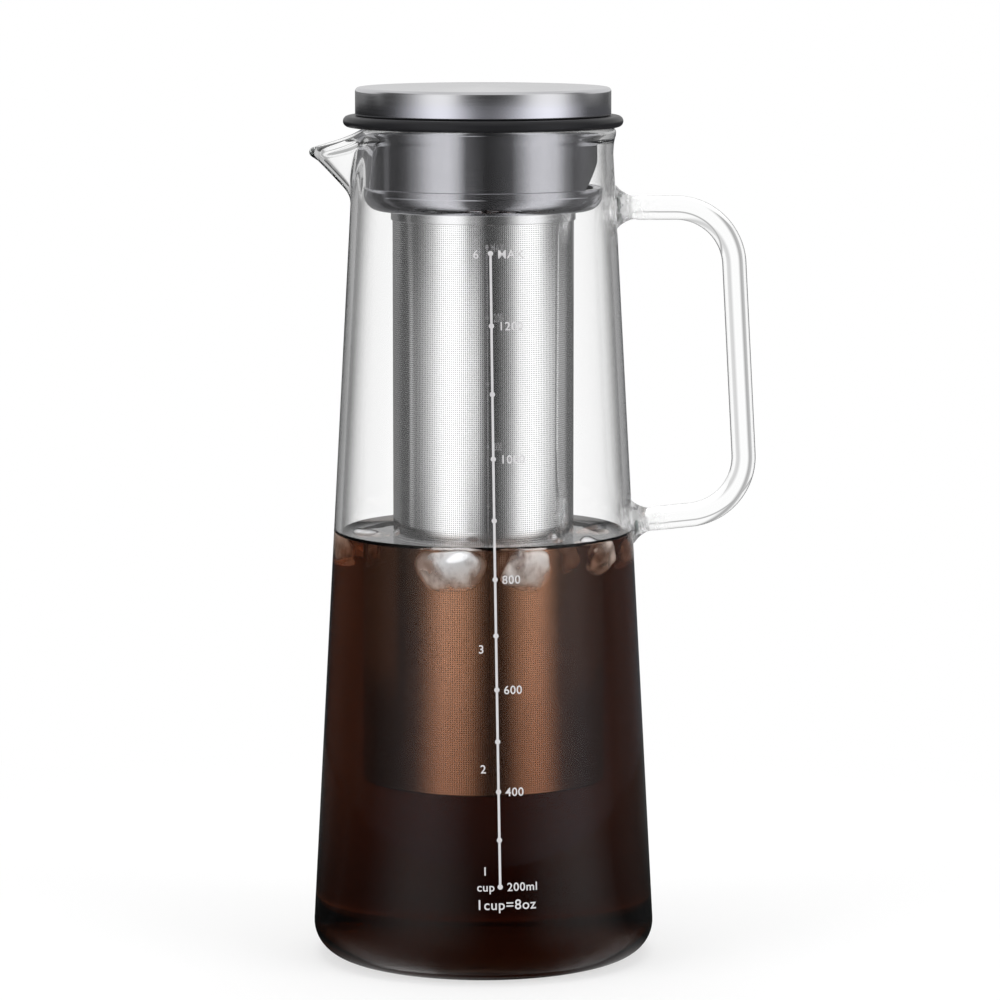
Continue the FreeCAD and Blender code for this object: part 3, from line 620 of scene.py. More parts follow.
def handle_line():
    """Points (x, z) of the rod's centre line, from the upper weld down."""
    upper, lower = outer_wall(HANDLE_TOP), outer_wall(HANDLE_ROOT)
    rise = math.tan(math.radians(LOWER_RISE))
    reach = GRIP_GAP + ROD
    low_x = lower + reach * (1 - TAPER * rise)
    corners = [
        Vector((upper, HANDLE_TOP)),
        Vector((upper + reach, HANDLE_TOP)),
        Vector((low_x, HANDLE_ROOT + (low_x - lower) * rise)),
        Vector((lower, HANDLE_ROOT)),
    ]
    return [corners[0], *handle_bend(*corners[:3]), *handle_bend(*corners[1:]), corners[-1]]


def handle_rings():
    """(centre, direction, distance from the nearer wall) of each ring of the rod."""
    line = handle_line()
    spacing = 1.6
    points = []
    for first, second in zip(line, line[1:]):
        count = max(1, round((second - first).length / spacing))
        points += [first + (second - first) * i / count for i in range(count)]
    points.append(line[-1])
    lengths = [0.0]
    for first, second in zip(points, points[1:]):
        lengths.append(lengths[-1] + (second - first).length)
    total = lengths[-1]
    # distances from the wall of a weld's rings, the first two inside the glass
    weld = (-1.3, -0.6, 0.0, 0.4, 0.8, 1.2, 1.7, 2.2, 2.8, 3.4, 4.0, 4.6, 5.2, 5.9, 6.6, 7.4, 8.2)
    rings = []
    first, last = (points[1] - points[0]).normalized(), (points[-1] - points[-2]).normalized()
    for distance in weld:
        rings.append((points[0] + first * distance, first, distance))
    for i, point in enumerate(points):
        to_wall = min(lengths[i], total - lengths[i])
        if to_wall > weld[-1] + spacing / 2:
            rings.append((point, (points[i + 1] - points[i - 1]).normalized(), to_wall))
    for distance in reversed(weld):
        rings.append((points[-1] - last * distance, last, distance))
    return rings


def rod_radius(distance):
    """(radius of the rod at a distance from the wall, share of the flare)."""
    flare = max(0.0, 1 - max(distance, 0.0) / WELD_REACH)
    waist, waist_place, waist_spread = 0.22, 0.75 * WELD_REACH, 1.6  # the drawn glass thins past the flare
    radius = ROD + WELD_FLARE * flare**2.6
    radius -= waist * math.exp(-((distance - waist_place) ** 2) / waist_spread)
    sunk = max(-distance, 0.0)
    return radius + sunk / 2, flare


def handle_mesh():
    sides = 48
    vertices = []
    for centre, direction, distance in handle_rings():
        radius, flare = rod_radius(distance)
        across = Vector((-direction.y, direction.x))
        for reach, side in circle(radius, sides):
            spot = centre + across * reach
            wall = outer_wall(spot.y)
            drop = wall - math.sqrt(max(wall * wall - side * side, 0.0))
            fade = smoothstep(flare) if distance > 0 else 1.0
            vertices.append((spot.x - drop * fade, side, spot.y))
    rings = len(vertices) // sides
    faces = ring_faces(rings, sides)
    faces.append(tuple(range(sides)))
    faces.append(tuple(range((rings - 1) * sides, rings * sides)))
    return vertices, faces


def glass_carafe(material):
    """Carafe and handle as one closed mesh, without an inner face at the welds."""
    carafe = new_piece("carafe_glass", *carafe_mesh(), None, None, crease=180)
    rod = new_piece("handle_glass", *handle_mesh(), None, None, crease=180)
    boolean(carafe, rod, "UNION")
    finish_piece(carafe, "carafe", material)
    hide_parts("carafe_body", "handle")


# ---------------- lid and filter


def seal_piece(material):
    bore = SKIRT_RADIUS - SKIRT_SHEET + RUNNING_GAP
    edge = SEAL_THICKNESS / 2
    outline = [(bore, SEAL_BOTTOM)]
    outline += arc(SEAL_RADIUS - edge, SEAL_BOTTOM + edge, edge, -90, 90, 20)
    outline += [(bore, SEAL_TOP)]
    piece = turned("rim_seal_ring", outline, "seal", material, "silicone")
    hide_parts("rim_seal")


def cap_piece(material):
    inside = CAP_RADIUS - CAP_SHEET
    flat = CAP_RADIUS - CAP_EDGE
    shoulder = CAP_TOP - CAP_CROWN
    hem_edge = CAP_RADIUS - HEM_WIDTH
    rings = 14

    def crown(top):
        return [(flat * (1 - i / rings), top - CAP_CROWN * (1 - i / rings) ** 2) for i in range(rings + 1)]

    outline = [(hem_edge, CAP_BOTTOM)]
    outline += arc(inside, CAP_BOTTOM + CAP_SHEET, CAP_SHEET, -90, 0, 6)
    outline += arc(flat, shoulder - CAP_EDGE, CAP_EDGE, 0, 90, 10)
    outline += crown(CAP_TOP)[1:]
    outline += crown(CAP_TOP - CAP_SHEET)[::-1]
    outline += arc(flat, shoulder - CAP_EDGE, CAP_EDGE - CAP_SHEET, 90, 0, 6)[1:]
    outline += [(inside, CAP_BOTTOM + CAP_SHEET), (hem_edge, CAP_BOTTOM + CAP_SHEET)]
    piece = turned("lid_cap", outline, "lid", material, "brushed_cap")
    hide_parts("cap_shell")


def sleeve_outline():
    bore = SKIRT_RADIUS - SKIRT_SHEET
    gasket = GASKET / 2
    ring = SKIRT_RADIUS + RUNNING_GAP / 2 - gasket
    level = CUP_RIM - CUP_DEPTH + CUP_CORNER + gasket
    groove = gasket + RUNNING_GAP / 2
    roll = groove + SKIRT_SHEET
    foot = level - roll - SEAT_GAP
    top = SEAL_BOTTOM - SEAT_GAP
    outline = [(bore, foot), (SKIRT_RADIUS, foot), (SKIRT_RADIUS, level - groove)]
    outline += arc(ring, level, groove, -90, -270, 16)
    outline += [(SKIRT_RADIUS, level + groove), (SKIRT_RADIUS, top), (bore, top), (bore, level + roll)]
    outline += arc(ring, level, roll, 90, 270, 18)
    outline += [(bore, level - roll)]
    return outline


def window_tool():
    sill = CUP_RIM - SEAT_GAP
    head = sill + WINDOW_HEAD
    inner = WINDOW_NARROW - WINDOW_CORNER
    window = [(-WINDOW_WIDE, sill), (WINDOW_WIDE, sill), (WINDOW_NARROW, sill + WINDOW_SHOULDER)]
    window += arc(inner, head - WINDOW_CORNER, WINDOW_CORNER, 0, 90, 8)
    window += arc(-inner, head - WINDOW_CORNER, WINDOW_CORNER, 90, 180, 8)
    window += [(-WINDOW_NARROW, sill + WINDOW_SHOULDER)]
    count = len(window)
    near, far = SKIRT_RADIUS * 0.5, SKIRT_RADIUS * 1.2
    vertices = [(near, y, z) for y, z in window] + [(far, y, z) for y, z in window]
    ends = [tuple(range(count)), tuple(range(count, 2 * count))]
    return new_piece("window_tool", vertices, ring_faces(2, count) + ends, None, None)


def skirt_piece(material):
    skirt = turned("lid_sleeve", sleeve_outline(), None, None, steps=320)
    boolean(skirt, window_tool(), "DIFFERENCE")
    skirt.data.set_sharp_from_angle(angle=math.radians(35))
    finish_piece(skirt, "lid", material)
    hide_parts("pour_skirt")


def cup_piece(material, satin):
    """A spun dish with a rolled rim, and the satin collar under it."""
    bore = SKIRT_RADIUS + RUNNING_GAP
    radius = bore + CUP_SHEET
    under = CUP_RIM - CUP_DEPTH
    floor = under + CUP_SHEET
    shoulder = under + CUP_CORNER
    collar = TUBE_RADIUS
    outer = collar + CUP_SHEET
    outline = [(collar, under), (outer, under)]
    outline += arc(radius - CUP_CORNER, shoulder, CUP_CORNER, -90, 0, 16)
    outline += arc(radius - CUP_SHEET / 2, CUP_RIM - CUP_SHEET / 2, CUP_SHEET / 2, 0, 180, 6)
    outline += arc(bore - CUP_CORNER + CUP_SHEET, shoulder, CUP_CORNER - CUP_SHEET, 0, -90, 14)
    outline += [(collar, floor)]
    head = turned("filter_head", outline, "filter", material, "polished_sheet")
    edge = 0.12  # bevel of the collar's lower edge
    low = under - CUP_NECK
    outline = [(collar, low), (outer - edge, low), (outer, low + edge), (outer, under), (collar, under)]
    ring = turned("filter_collar", outline, "filter", satin, "polished_sheet")
    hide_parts("filter_cup")
    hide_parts("filter_cup")


def tube_piece(material):
    foot = FILTER_FLOOR + BASE_SHEET
    top = CUP_RIM - CUP_DEPTH + CUP_SHEET
    inside = TUBE_RADIUS - TUBE_SHEET
    outline = [(inside, foot), (TUBE_RADIUS, foot), (TUBE_RADIUS, top), (inside, top)]
    piece = turned("filter_screen", outline, "filter", material, "mesh")
    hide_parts("filter_tube")


def base_piece(material):
    upstand = TUBE_RADIUS - TUBE_SHEET
    bend = BASE_SHEET * 2
    low = FILTER_FLOOR + BASE_SHEET
    top = FILTER_FLOOR + BASE_UPSTAND
    edge = 0.3  # bevel of the disc's lower edge
    outline = [(0, FILTER_FLOOR), (TUBE_RADIUS - edge, FILTER_FLOOR)]
    outline += [(TUBE_RADIUS, FILTER_FLOOR + edge), (TUBE_RADIUS, low), (upstand, low)]
    outline += [(upstand, top), (upstand - BASE_SHEET, top)]
    outline += arc(upstand - BASE_SHEET - bend, low + bend, bend, 0, -90, 6)
    outline += [(0, low)]
    piece = turned("filter_foot", outline, "filter", material, "polished_sheet")
    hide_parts("filter_base")


# ---------------- coffee and ice


def coffee_piece(material):
    """Coffee, a little way into the glass so that no air lies between."""
    into_glass = 0.12
    wall_steps, surface_steps = 60, 26
    shore = 14.0  # width of the ring of surface along the glass that carries the meniscus
    reach = 1.4375  # distance from the glass over which the meniscus drops to a third
    corner = FOOT_CORNER - GLASS_WALL + into_glass
    floor = FLOOR - into_glass
    lean_angle = math.degrees(math.atan(TAPER))
    hollow_x = inner_wall(FLOOR) - (FOOT_CORNER - GLASS_WALL) * (SLANT + TAPER)
    outline = [(0, floor), (20, floor)]
    outline += arc(hollow_x, floor + corner, corner, -90, lean_angle, 14)
    start, top = outline[-1][1], COFFEE_LEVEL + MENISCUS
    for i in range(1, wall_steps + 1):
        z = start + (top - start) * i / wall_steps
        outline.append((inner_wall(z) + into_glass, z))
    for i in range(1, surface_steps + 1):
        inward = shore * (i / surface_steps) ** 1.6
        climb = MENISCUS * math.exp(-inward / reach)
        outline.append((inner_wall(top) + into_glass - inward, COFFEE_LEVEL + climb))
    outline += [(14, COFFEE_LEVEL), (0, COFFEE_LEVEL)]
    turned("coffee", outline, "carafe", material, crease=60)


# One piece of ice in each row: its turn from the front (positive towards the handle), distance from the
# axis and level, then its width, depth and height, its roll and the seed of its dents.
ICE = (
    (-14.5, 36.6, 121.2, 21, 11, 14.5, 5, 1.3),
    (19, 36.6, 121.2, 15, 11, 14, -12, 4.1),
    (64, 34.6, 122.6, 10, 9.6, 10.5, 28, 6.6),
    (-100, 34.4, 122.2, 12.5, 10.6, 12, 24, 7.7),
    (-146, 35.4, 121.8, 17, 11.2, 13, 9, 5.9),
    (112, 35.5, 121.6, 15, 11, 12.5, 31, 3.6),
    (168, 35.4, 121.7, 17, 11.2, 13, -8, 8.2),
)


def ice_dents(x, y, z, seed):
    """How much of a piece's size is left in a direction, from a sum of slow waves."""
    dent = math.sin(2.3 * x + seed) * math.sin(2.9 * y + 2 * seed) + math.sin(3.4 * z + 3 * seed) * 0.6
    dent += math.sin(5.1 * x - seed) * math.sin(4.3 * z + seed) * 0.5
    depth, shallowest, span = 0.22, -1.2, 2.2
    return 1 - depth * (dent - shallowest) / span


def ice_mesh(piece):
    """A half melted cube, rounded and dented."""
    turn, distance, level, width, depth, height, roll, seed = piece
    roundness = 3.6
    leaning = 0.32  # how much nearer to the glass a piece stands for each unit of height
    work = bmesh.new()
    bmesh.ops.create_cube(work, size=2.0)
    bmesh.ops.subdivide_edges(work, edges=work.edges, cuts=13, use_grid_fill=True)
    angle = math.radians(turn - 90)
    cos, sin = math.cos(math.radians(roll)), math.sin(math.radians(roll))
    vertices = []
    for vertex in work.verts:
        x, y, z = vertex.co
        reach = (abs(x) ** roundness + abs(y) ** roundness + abs(z) ** roundness) ** (1 / roundness)
        x, y, z = x / reach, y / reach, z / reach
        size = ice_dents(x, y, z, seed)
        side, rise = x * size * width / 2, z * size * height / 2
        across = side * cos - rise * sin
        up = side * sin + rise * cos
        radius = distance + y * size * depth / 2 + leaning * up
        swing = angle + across / distance
        vertices.append((radius * math.cos(swing), radius * math.sin(swing), level + up))
    faces = [tuple(v.index for v in face.verts) for face in work.faces]
    work.free()
    return vertices, faces


def ice_pieces(material):
    for number, piece in enumerate(ICE):
        new_piece(f"ice_{number + 1}", *ice_mesh(piece), "carafe", material, crease=180)


# ---------------- printed scale

SCALE_LOW, SCALE_HIGH = 29.5, 214.1  # the 200 ml and the top marks
SCALE_TURN_LOW, SCALE_TURN_HIGH = 5.8, 3.2  # degrees from the front, at those heights
TOP_MARK = 1300
CUP_MARKS = (("mark_three", "3", 99.3), ("mark_two", "2", 64.2), ("mark_one", "1", 34.2))
RULE_LEVEL = 24.3
LABEL_HEIGHT, RULE_HEIGHT = 2.5, 3.0
LINE_HALF = 0.36  # half the width of the printed line
DOT_RADIUS = 0.78
INK_TOP, INK_UNDER = 0.03, 0.002  # how far the print's two faces stand off the glass
CONE_SHARE = 0.982  # share of a printed volume that the bare cone holds up to its mark


def scale_turn(z):
    """Turn of the printed line, in degrees from the front."""
    share = (z - SCALE_LOW) / (SCALE_HIGH - SCALE_LOW)
    return SCALE_TURN_LOW + (SCALE_TURN_HIGH - SCALE_TURN_LOW) * share


def mark_level(volume):
    """Height that holds a volume in millilitres."""
    cubic = 3 * TAPER * volume * 1000 * CONE_SHARE / math.pi
    radius = (inner_wall(FLOOR) ** 3 - cubic) ** (1 / 3)
    return (inner_wall(0) - radius) / TAPER


def on_wall(across, z, depth):
    """A point of the print, across to the right of its line."""
    radius = outer_wall(z)
    turn = math.radians(-90 + scale_turn(z)) + across / radius
    out = radius + depth
    return out * math.cos(turn), out * math.sin(turn), z


def printed(name, flat_vertices, flat_faces, material):
    """A thin closed sheet of ink from flat (across, height) points."""
    count = len(flat_vertices)
    vertices = [on_wall(a, z, INK_TOP) for a, z in flat_vertices]
    vertices += [on_wall(a, z, INK_UNDER) for a, z in flat_vertices]
    edges = {}  # a dictionary, so that the edges keep their order
    for face in flat_faces:
        for a, b in zip(face, tuple(face[1:]) + (face[0],)):
            edges[(a, b)] = True
    faces = [tuple(face) for face in flat_faces]
    faces += [tuple(count + i for i in reversed(face)) for face in flat_faces]
    for a, b in edges:
        if (b, a) not in edges:
            faces.append((b, a, count + a, count + b))
    new_piece(name, vertices, faces, "carafe", material, crease=30)


def scale_line(material):
    """The line, with a dot for each hundred millilitres."""
    steps, sides = 80, 28
    vertices = []
    for i in range(steps + 1):
        z = SCALE_LOW + (SCALE_HIGH - SCALE_LOW) * i / steps
        vertices += [(-LINE_HALF, z), (LINE_HALF, z)]
    faces = [(2 * i, 2 * i + 1, 2 * i + 3, 2 * i + 2) for i in range(steps)]
    printed("scale_line", vertices, faces, material)
    vertices, faces = [], []
    for volume in range(200, TOP_MARK + 1, 100):
        z = mark_level(volume)
        first = len(vertices)
        vertices += [(x, z + y) for x, y in circle(DOT_RADIUS, sides)]
        faces.append(tuple(range(first, first + sides)))
    printed("scale_dots", vertices, faces, material)


def label(name, text, across, z, height, align, material):
    """Text with a height of capitals, centred on a level."""
    cap_share = 0.72  # capital height of the built-in font for each unit of size
    weld = 1e-5  # points closer than this are one
    curve = bpy.data.curves.new(name, "FONT")
    curve.body = text
    curve.size = height / cap_share
    curve.align_x = align
    curve.resolution_u = 4
    curve.space_character = 1.08
    curve.offset = 0.035
    holder = linked(name, curve)
    bpy.context.view_layer.update()
    mesh = bpy.data.meshes.new_from_object(holder)
    bpy.data.objects.remove(holder)
    work = bmesh.new()
    work.from_mesh(mesh)
    bmesh.ops.remove_doubles(work, verts=work.verts, dist=weld)
    bmesh.ops.dissolve_degenerate(work, edges=work.edges, dist=weld)
    work.verts.index_update()
    flat = [(across + v.co.x, z + v.co.y - height / 2) for v in work.verts]
    faces = []
    for face in work.faces:
        order = [v.index for v in face.verts]
        faces.append(tuple(order if face.normal.z > 0 else reversed(order)))
    work.free()
    bpy.data.meshes.remove(mesh)
    printed(name, flat, faces, material)


def scale_labels(material):
    right, left = 2.0, -3.5
    for volume in range(200, 1201, 200):
        text = f"{volume}ml" if volume == 200 else str(volume)
        label(f"mark_{volume}", text, right, mark_level(volume), LABEL_HEIGHT, "LEFT", material)
    label("mark_max", "MAX", right, SCALE_HIGH, LABEL_HEIGHT, "LEFT", material)
    label("mark_six", "6", left + 0.1, SCALE_HIGH, LABEL_HEIGHT, "RIGHT", material)
    for name, text, z in CUP_MARKS:
        label(name, text, left, z, LABEL_HEIGHT, "RIGHT", material)
    label("mark_cup", "cup", left + 1.9, SCALE_LOW, LABEL_HEIGHT, "RIGHT", material)
    label("mark_rule", "1cup=8oz", right - 0.3, RULE_LEVEL, RULE_HEIGHT, "CENTER", material)


# ---------------- studio

# Brightness of the surround at azimuths from the camera's side, positive towards the handle. What is
# mirrored: LEVEL_BANDS level with the eye, LOW_BANDS below it, OUTER_BANDS below it by outer faces, and
# FOOT_BANDS on the floor and further below through coffee. What is seen through: GLASS_BANDS through plain
# glass, COFFEE_BANDS through coffee, and SURFACE_BANDS through coffee just under its surface.
LEVEL_BANDS = {
    -180: 0.24, -150: 0.2, -134: 0.2, -124: 0.06, -112: 0.06, -108: 0.18, -104: 0.18, -100: 0.07, -90: 0.06,
    -80: 0.12, -67: 0.42, -56: 0.9, -48: 1.16, -33: 1.24, -25: 0.95, -16: 0.18, -6: 0.09, 3: 0.04, 12: 0.06,
    27: 0.13, 36: 0.5, 48: 1.1, 60: 1.24, 74: 1.08, 87: 0.36, 98: 0.14, 112: 0.2, 124: 0.16, 140: 0.08,
    151: 0.09, 160: 0.24, 180: 0.24,
}
LOW_BANDS = {
    -180: 0.2, -140: 0.18, -122: 0.07, -108: 0.09, -105: 0.45, -101: 0.45, -97: 0.24, -88: 0.32, -72: 0.7,
    -56: 1.15, -38: 1.32, -18: 1.2, -8: 1.02, -2: 0.48, 4: 0.05, 17: 0.03, 22: 0.1, 30: 0.2, 38: 0.5,
    46: 0.98, 64: 1.24, 80: 1.14, 98: 0.72, 112: 0.4, 124: 0.36, 134: 0.1, 165: 0.1, 180: 0.2,
}
OUTER_BANDS = {
    -180: 0.06, -170: 0.05, -150: 0.01, -104: 0.02, -86: 0.08, -70: 0.4, -56: 0.9, -46: 1.2, -32: 1.24,
    -18: 0.7, -6: 0.22, 6: 0.16, 18: 0.28, 30: 0.6, 44: 1.16, 60: 1.4, 74: 1.2, 88: 0.5, 106: 0.08,
    180: 0.1,
}
FOOT_BANDS = {
    -180: 0.12, -140: 0.04, -100: 0.04, -80: 0.1, -70: 0.3, -60: 0.72, -46: 1.36, -28: 1.3, -14: 0.84,
    -5: 0.36, 4: 0.1, 20: 0.08, 28: 0.25, 42: 0.92, 56: 1.34, 68: 1.24, 82: 0.55, 94: 0.12, 127: 0.07,
    180: 0.12,
}
COFFEE_BANDS = {
    -180: 0.26, -166: 0.22, -150: 0.17, -135: 0.17, -120: 0.16, -100: 0.1, -90: 0.04, 90: 0.04, 100: 0.12,
    120: 0.26, 135: 0.26, 150: 0.22, 166: 0.22, 180: 0.26,
}
SURFACE_BANDS = {
    -180: 0.3, -166: 0.2, -150: 0.2, -135: 0.35, -120: 0.35, -100: 0.2, -90: 0.05, 90: 0.05, 100: 0.3,
    120: 0.9, 135: 0.95, 150: 0.85, 166: 0.35, 180: 0.3,
}
GLASS_BANDS = {
    -180: 1, -171: 1, -163: 0.4, -153: 0.5, -146: 1, -126: 1, -119: 0.12, -107: 0.05, -101: 0.95, -79: 0.95,
    -70: 0.3, -63: 0.3, -55: 0.95, -35: 0.95, -23: 0.4, -10: 0.95, 10: 0.95, 23: 0.4, 35: 0.95, 55: 0.95,
    63: 0.4, 70: 0.4, 79: 0.95, 101: 0.95, 107: 0.3, 119: 0.4, 126: 1, 146: 1, 153: 0.7, 162: 0.65, 170: 1,
    180: 1,
}
CEILING = 0.78
COOL = (0.98, 0.985, 1.07, 1)  # colour of what outer faces mirror from below the eye
BELOW_COFFEE = 0.15  # brightness that coffee mirrors at its surface and at the carafe's floor
INNER_LEAST, INNER_SHARE = 0.5, 0.4  # least brightness mirrored inside glass, and share of the bands
ROOM = 0.55
DAYLIGHT = 2.4  # what lights a matt surface that glass or coffee surrounds
FLOOR_RADIUS = 0.42
MIRRORED_FLOOR = 0.85  # brightness of the floor in reflections, against the surround above it
COFFEE_WALLS = 4  # a ray that has passed more walls than this has coffee behind it

# Limits between which one level gives way to another, as the height z of a direction of length 1.
OUTER_FROM = (-0.058, -0.050)
LOW_FROM = (-0.085, -0.072)
FOOT_FROM = (-0.138, -0.122)
SURFACE_FROM, SURFACE_TO = (-0.190, -0.176), (-0.13, -0.10)
HORIZON, COFFEE_HORIZON = (-0.005, 0.035), (0.02, 0.06)
ZENITH = (0.45, 0.7)
BACKWARDS = (0.2, 0.45)  # the same for the share y of a direction that points away from the camera


class Sky(Shader):

    def __init__(self, name):
        self.material = bpy.data.worlds.new(name)
        self.material.use_nodes = True
        self.tree = self.material.node_tree
        self.tree.nodes.clear()
        self.output = self.tree.nodes.new("ShaderNodeOutputWorld")


class Rays:
    """What a ray has met on its way, as switches of 1 or 0."""

    def __init__(self, shader):
        self.shader = shader
        self.path = shader.add("LightPath").outputs
        self.camera = self.path["Is Camera Ray"]
        self.glossy = self.path["Is Glossy Ray"]
        self.transmission = self.path["Is Transmission Ray"]
        self.entered = self.more_than("Transmission Depth", 0)
        self.through_coffee = self.more_than("Transmission Depth", COFFEE_WALLS)
        straight = shader.math("SUBTRACT", self.glossy, self.transmission)
        self.mirrored = shader.most(straight, self.more_than("Glossy Depth", 0))

    def more_than(self, depth, count):
        return self.shader.math("GREATER_THAN", self.path[depth], count + 0.5)


def walls_level(s, rays, share, z, outer):
    """Brightness of the studio's walls in a mirror."""
    lowest = s.fade(z, *FOOT_FROM)
    low = s.times(s.fade(z, *LOW_FROM), s.inverse(lowest))
    level = s.choose(low, s.bands(share, LEVEL_BANDS), s.bands(share, LOW_BANDS))
    level = s.choose(s.times(lowest, rays.through_coffee), level, s.bands(share, FOOT_BANDS))
    return s.choose(outer, level, s.bands(share, OUTER_BANDS))


def mirrored_level(s, rays, share, y, z, outer):
    """Brightness of the whole studio in a mirror."""
    behind = s.ease(y, *BACKWARDS)
    overhead = s.most(s.times(s.ease(z, *HORIZON), behind), s.ease(z, *ZENITH))
    over_coffee = s.times(s.most(behind, s.ease(z, *COFFEE_HORIZON)), rays.through_coffee)
    ceiling = s.choose(rays.through_coffee, CEILING, BELOW_COFFEE)
    level = s.choose(s.most(overhead, over_coffee), walls_level(s, rays, share, z, outer), ceiling)
    soft = s.math("ADD", s.times(s.bands(share, LEVEL_BANDS), INNER_SHARE), INNER_LEAST)
    soft = s.choose(rays.through_coffee, soft, BELOW_COFFEE)
    inside = s.times(rays.entered, s.inverse(rays.more_than("Transmission Depth", COFFEE_WALLS - 1)))
    again = rays.more_than("Glossy Depth", 1)
    return s.choose(s.most(inside, again), level, soft)


def seen_level(s, rays, share, z):
    """Brightness behind plain glass, with a soft dark line above the eye, and behind coffee."""
    dark_height, dark_edge, darkest = 0.17, (0.01, 0.07), 0.45
    over_eye, dimmed = (0.0, 0.04), 0.35
    line = s.math("ABSOLUTE", s.math("SUBTRACT", z, dark_height))
    plain = s.math("MINIMUM", s.bands(share, GLASS_BANDS), s.ease(line, *dark_edge, darkest, 1.0))
    surface = s.times(s.ease(z, *SURFACE_FROM), s.fade(z, *SURFACE_TO))
    coffee = s.choose(surface, s.bands(share, COFFEE_BANDS), s.bands(share, SURFACE_BANDS))
    coffee = s.times(coffee, s.ease(z, *over_eye, 1.0, dimmed))
    return s.choose(rays.through_coffee, plain, coffee)


def studio_world():
    """White behind the object, and a banded studio for what glass and steel mirror."""
    s = Sky("studio")
    bpy.context.scene.world = s.material
    _, x, y, z = s.place("Generated")
    share = s.turn_share(x, y)
    rays = Rays(s)
    outer = s.times(s.fade(z, *OUTER_FROM), s.inverse(rays.entered))
    level = s.choose(rays.transmission, ROOM, seen_level(s, rays, share, z))
    level = s.choose(rays.mirrored, level, mirrored_level(s, rays, share, y, z, outer))
    level = s.choose(s.times(rays.more_than("Diffuse Depth", 0), rays.entered), level, DAYLIGHT)
    level = s.choose(rays.camera, level, 1.0)
    colour = s.mix(s.times(outer, rays.glossy), WHITE, COOL)
    background = s.add("Background", {"Color": colour, "Strength": level})
    s.put(s.output.inputs["Surface"], background.outputs[0])


def softbox(name, place, target, width, height, power):
    light = bpy.data.lights.new(name, "AREA")
    light.shape = "RECTANGLE"
    light.size, light.size_y = width, height
    light.energy = power
    lamp = linked(name, light)
    lamp.location = place
    lamp.rotation_euler = (Vector(target) - Vector(place)).to_track_quat("-Z", "Y").to_euler()
    lamp.visible_camera = False
    lamp.visible_glossy = False
    lamp.visible_transmission = False


def floor_material():
    """White for the camera, with the object's shadow kept near the object, and a painted shadow near it
    where the floor is mirrored or seen through coffee.
    """
    shadow_reach, mirrored_shadow_reach, coffee_shadow_reach = (0.08, 0.36), (0.05, 0.3), (0.02, 0.25)
    s = Shader("pale_floor")
    s.set(Base_Color=grey(0.9), Roughness=0.9, Specular_IOR_Level=0.0)
    place, x, y, _ = s.place()
    away = s.add("VectorMath", {0: place}, operation="LENGTH").outputs["Value"]
    rays = Rays(s)
    share = s.turn_share(x, y)
    seen = s.most(s.most(rays.camera, rays.glossy), rays.transmission)
    lit = s.ease(away, *shadow_reach, 0.6, 1.0)
    shown = s.most(lit, s.most(rays.mirrored, rays.through_coffee))
    # painted shadow: the floor's glow dims near the object where the floor is mirrored
    around = s.times(s.bands(share, FOOT_BANDS), s.ease(away, *mirrored_shadow_reach, 0.25, MIRRORED_FLOOR))
    shallow = s.times(rays.entered, s.inverse(rays.through_coffee))
    around = s.choose(shallow, around, s.bands(share, LEVEL_BANDS))
    # painted shadow: the floor's glow dims under the object where the floor is seen through coffee
    under = s.times(s.bands(share, COFFEE_BANDS), s.ease(away, *coffee_shadow_reach, 0.3, 1.0))
    strength = s.choose(rays.mirrored, s.choose(rays.through_coffee, 1.0, under), around)
    white = s.add("Emission", {"Color": WHITE, "Strength": strength})
    sides = {0: s.times(seen, shown), 1: s.bsdf.outputs[0], 2: white.outputs[0]}
    s.put(s.output.inputs["Surface"], s.add("MixShader", sides).outputs[0])
    return s.material


def studio_floor():
    steps = 96
    hair = 0.0002  # gap under the foot
    vertices = [(0.0, 0.0, 0.0)] + [(x, y, 0.0) for x, y in circle(FLOOR_RADIUS, steps)]
    faces = [(0, 1 + j, 1 + (j + 1) % steps) for j in range(steps)]
    mesh = bpy.data.meshes.new("studio_floor")
    mesh.from_pydata(vertices, [], faces)
    mesh.materials.append(floor_material())
    floor = linked("studio_floor", mesh)
    floor.location.z = -hair


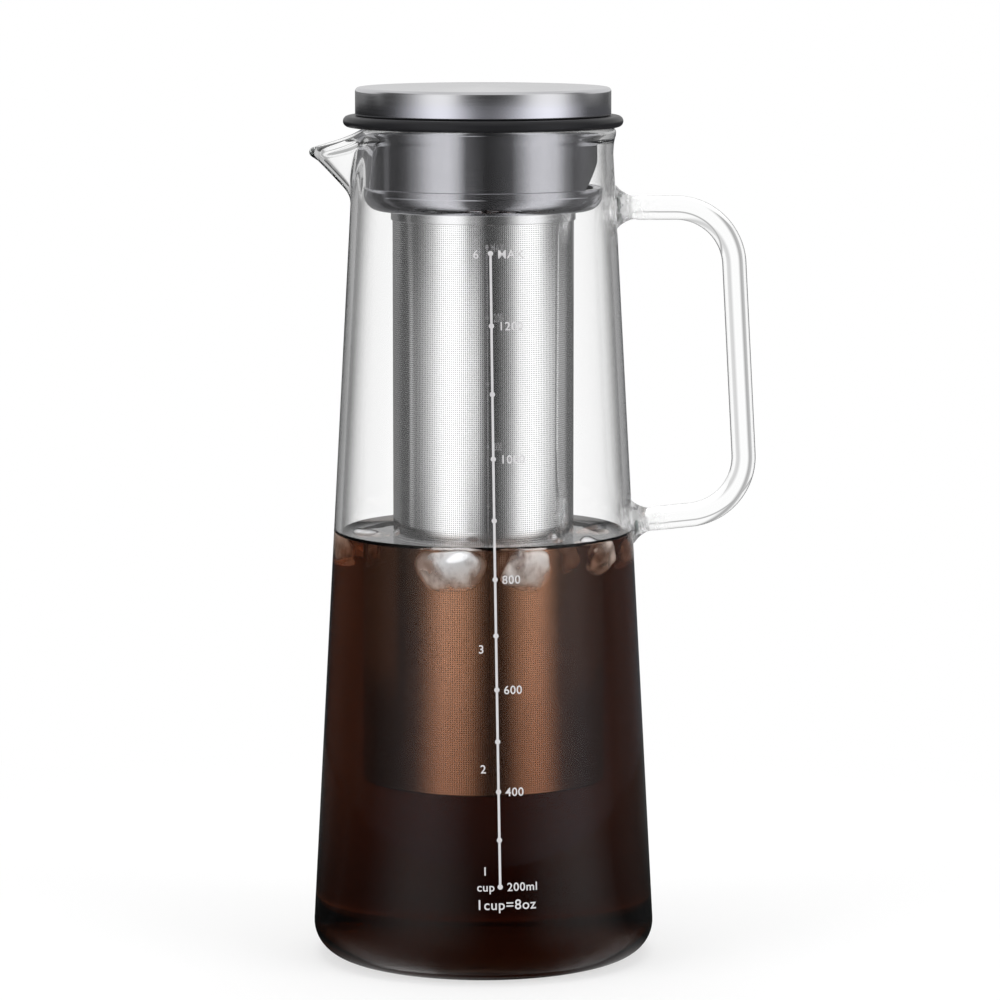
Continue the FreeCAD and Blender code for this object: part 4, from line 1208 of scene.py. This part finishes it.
def studio():
    studio_world()
    studio_floor()
    middle = (0, 0, 0.13)
    softbox("left_softbox", (-1.1, -0.8, 0.7), middle, width=0.9, height=1.2, power=9.0)
    softbox("right_softbox", (1.1, -0.8, 0.7), middle, width=0.9, height=1.2, power=9.0)
    softbox("top_softbox", (0, 0.2, 1.5), middle, width=1.2, height=1.2, power=11.0)


def camera():
    lens = bpy.data.cameras.new("camera")
    lens.lens = 172.4
    lens.sensor_width = 36.0
    lens.clip_start, lens.clip_end = 0.05, 50.0
    view = linked("camera", lens)
    view.location = (0.005, -1.4251, 0.3173)
    view.rotation_euler = (math.radians(82.8), 0, 0)
    bpy.context.scene.camera = view


# ---------------- everything


def dress_node(name, material):
    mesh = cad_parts[name].data
    mesh.materials.clear()
    mesh.materials.append(material)


def render_settings():
    bounces = 96  # for light that runs along the glass rod
    scene = bpy.context.scene
    scene.view_settings.view_transform = "Standard"
    scene.cycles.max_bounces = bounces
    scene.cycles.transmission_bounces = bounces
    scene.cycles.glossy_bounces = bounces
    scene.cycles.transparent_max_bounces = 16


def main():
    render_settings()
    cap_steel = steel_material(
        "brushed_cap", (0.70, 0.70, 0.72, 1),
        roughness=0.16, spread=0.08, anisotropy=0.55, grain=1500.0, stains=120.0,
    )
    # painted shade: the steel of the sleeve, dish and foot is painted darker than the cap's (0.46 against
    # 0.70) for the shade under the lid
    shaded_drawn_steel = steel_material(
        "shaded_drawn_steel", (0.46, 0.46, 0.49, 1),
        roughness=0.05, spread=0.03, anisotropy=0.3,
    )
    ink = print_material()
    silicone = silicone_material()
    glass_carafe(glass_material())
    seal_piece(silicone)
    cap_piece(cap_steel)
    skirt_piece(shaded_drawn_steel)
    satin_steel = steel_material(
        "satin_steel", (0.84, 0.84, 0.85, 1),
        roughness=0.1, spread=0.06, anisotropy=0.2,
    )
    cup_piece(shaded_drawn_steel, satin_steel)
    tube_piece(mesh_material())
    base_piece(shaded_drawn_steel)
    coffee_piece(coffee_material())
    ice_pieces(ice_material())
    scale_line(ink)
    scale_labels(ink)
    dress_node("lid_core", moulding_material())
    dress_node("filter_gasket", silicone)
    camera()
    studio()


main()
bpy.context.view_layer.update()
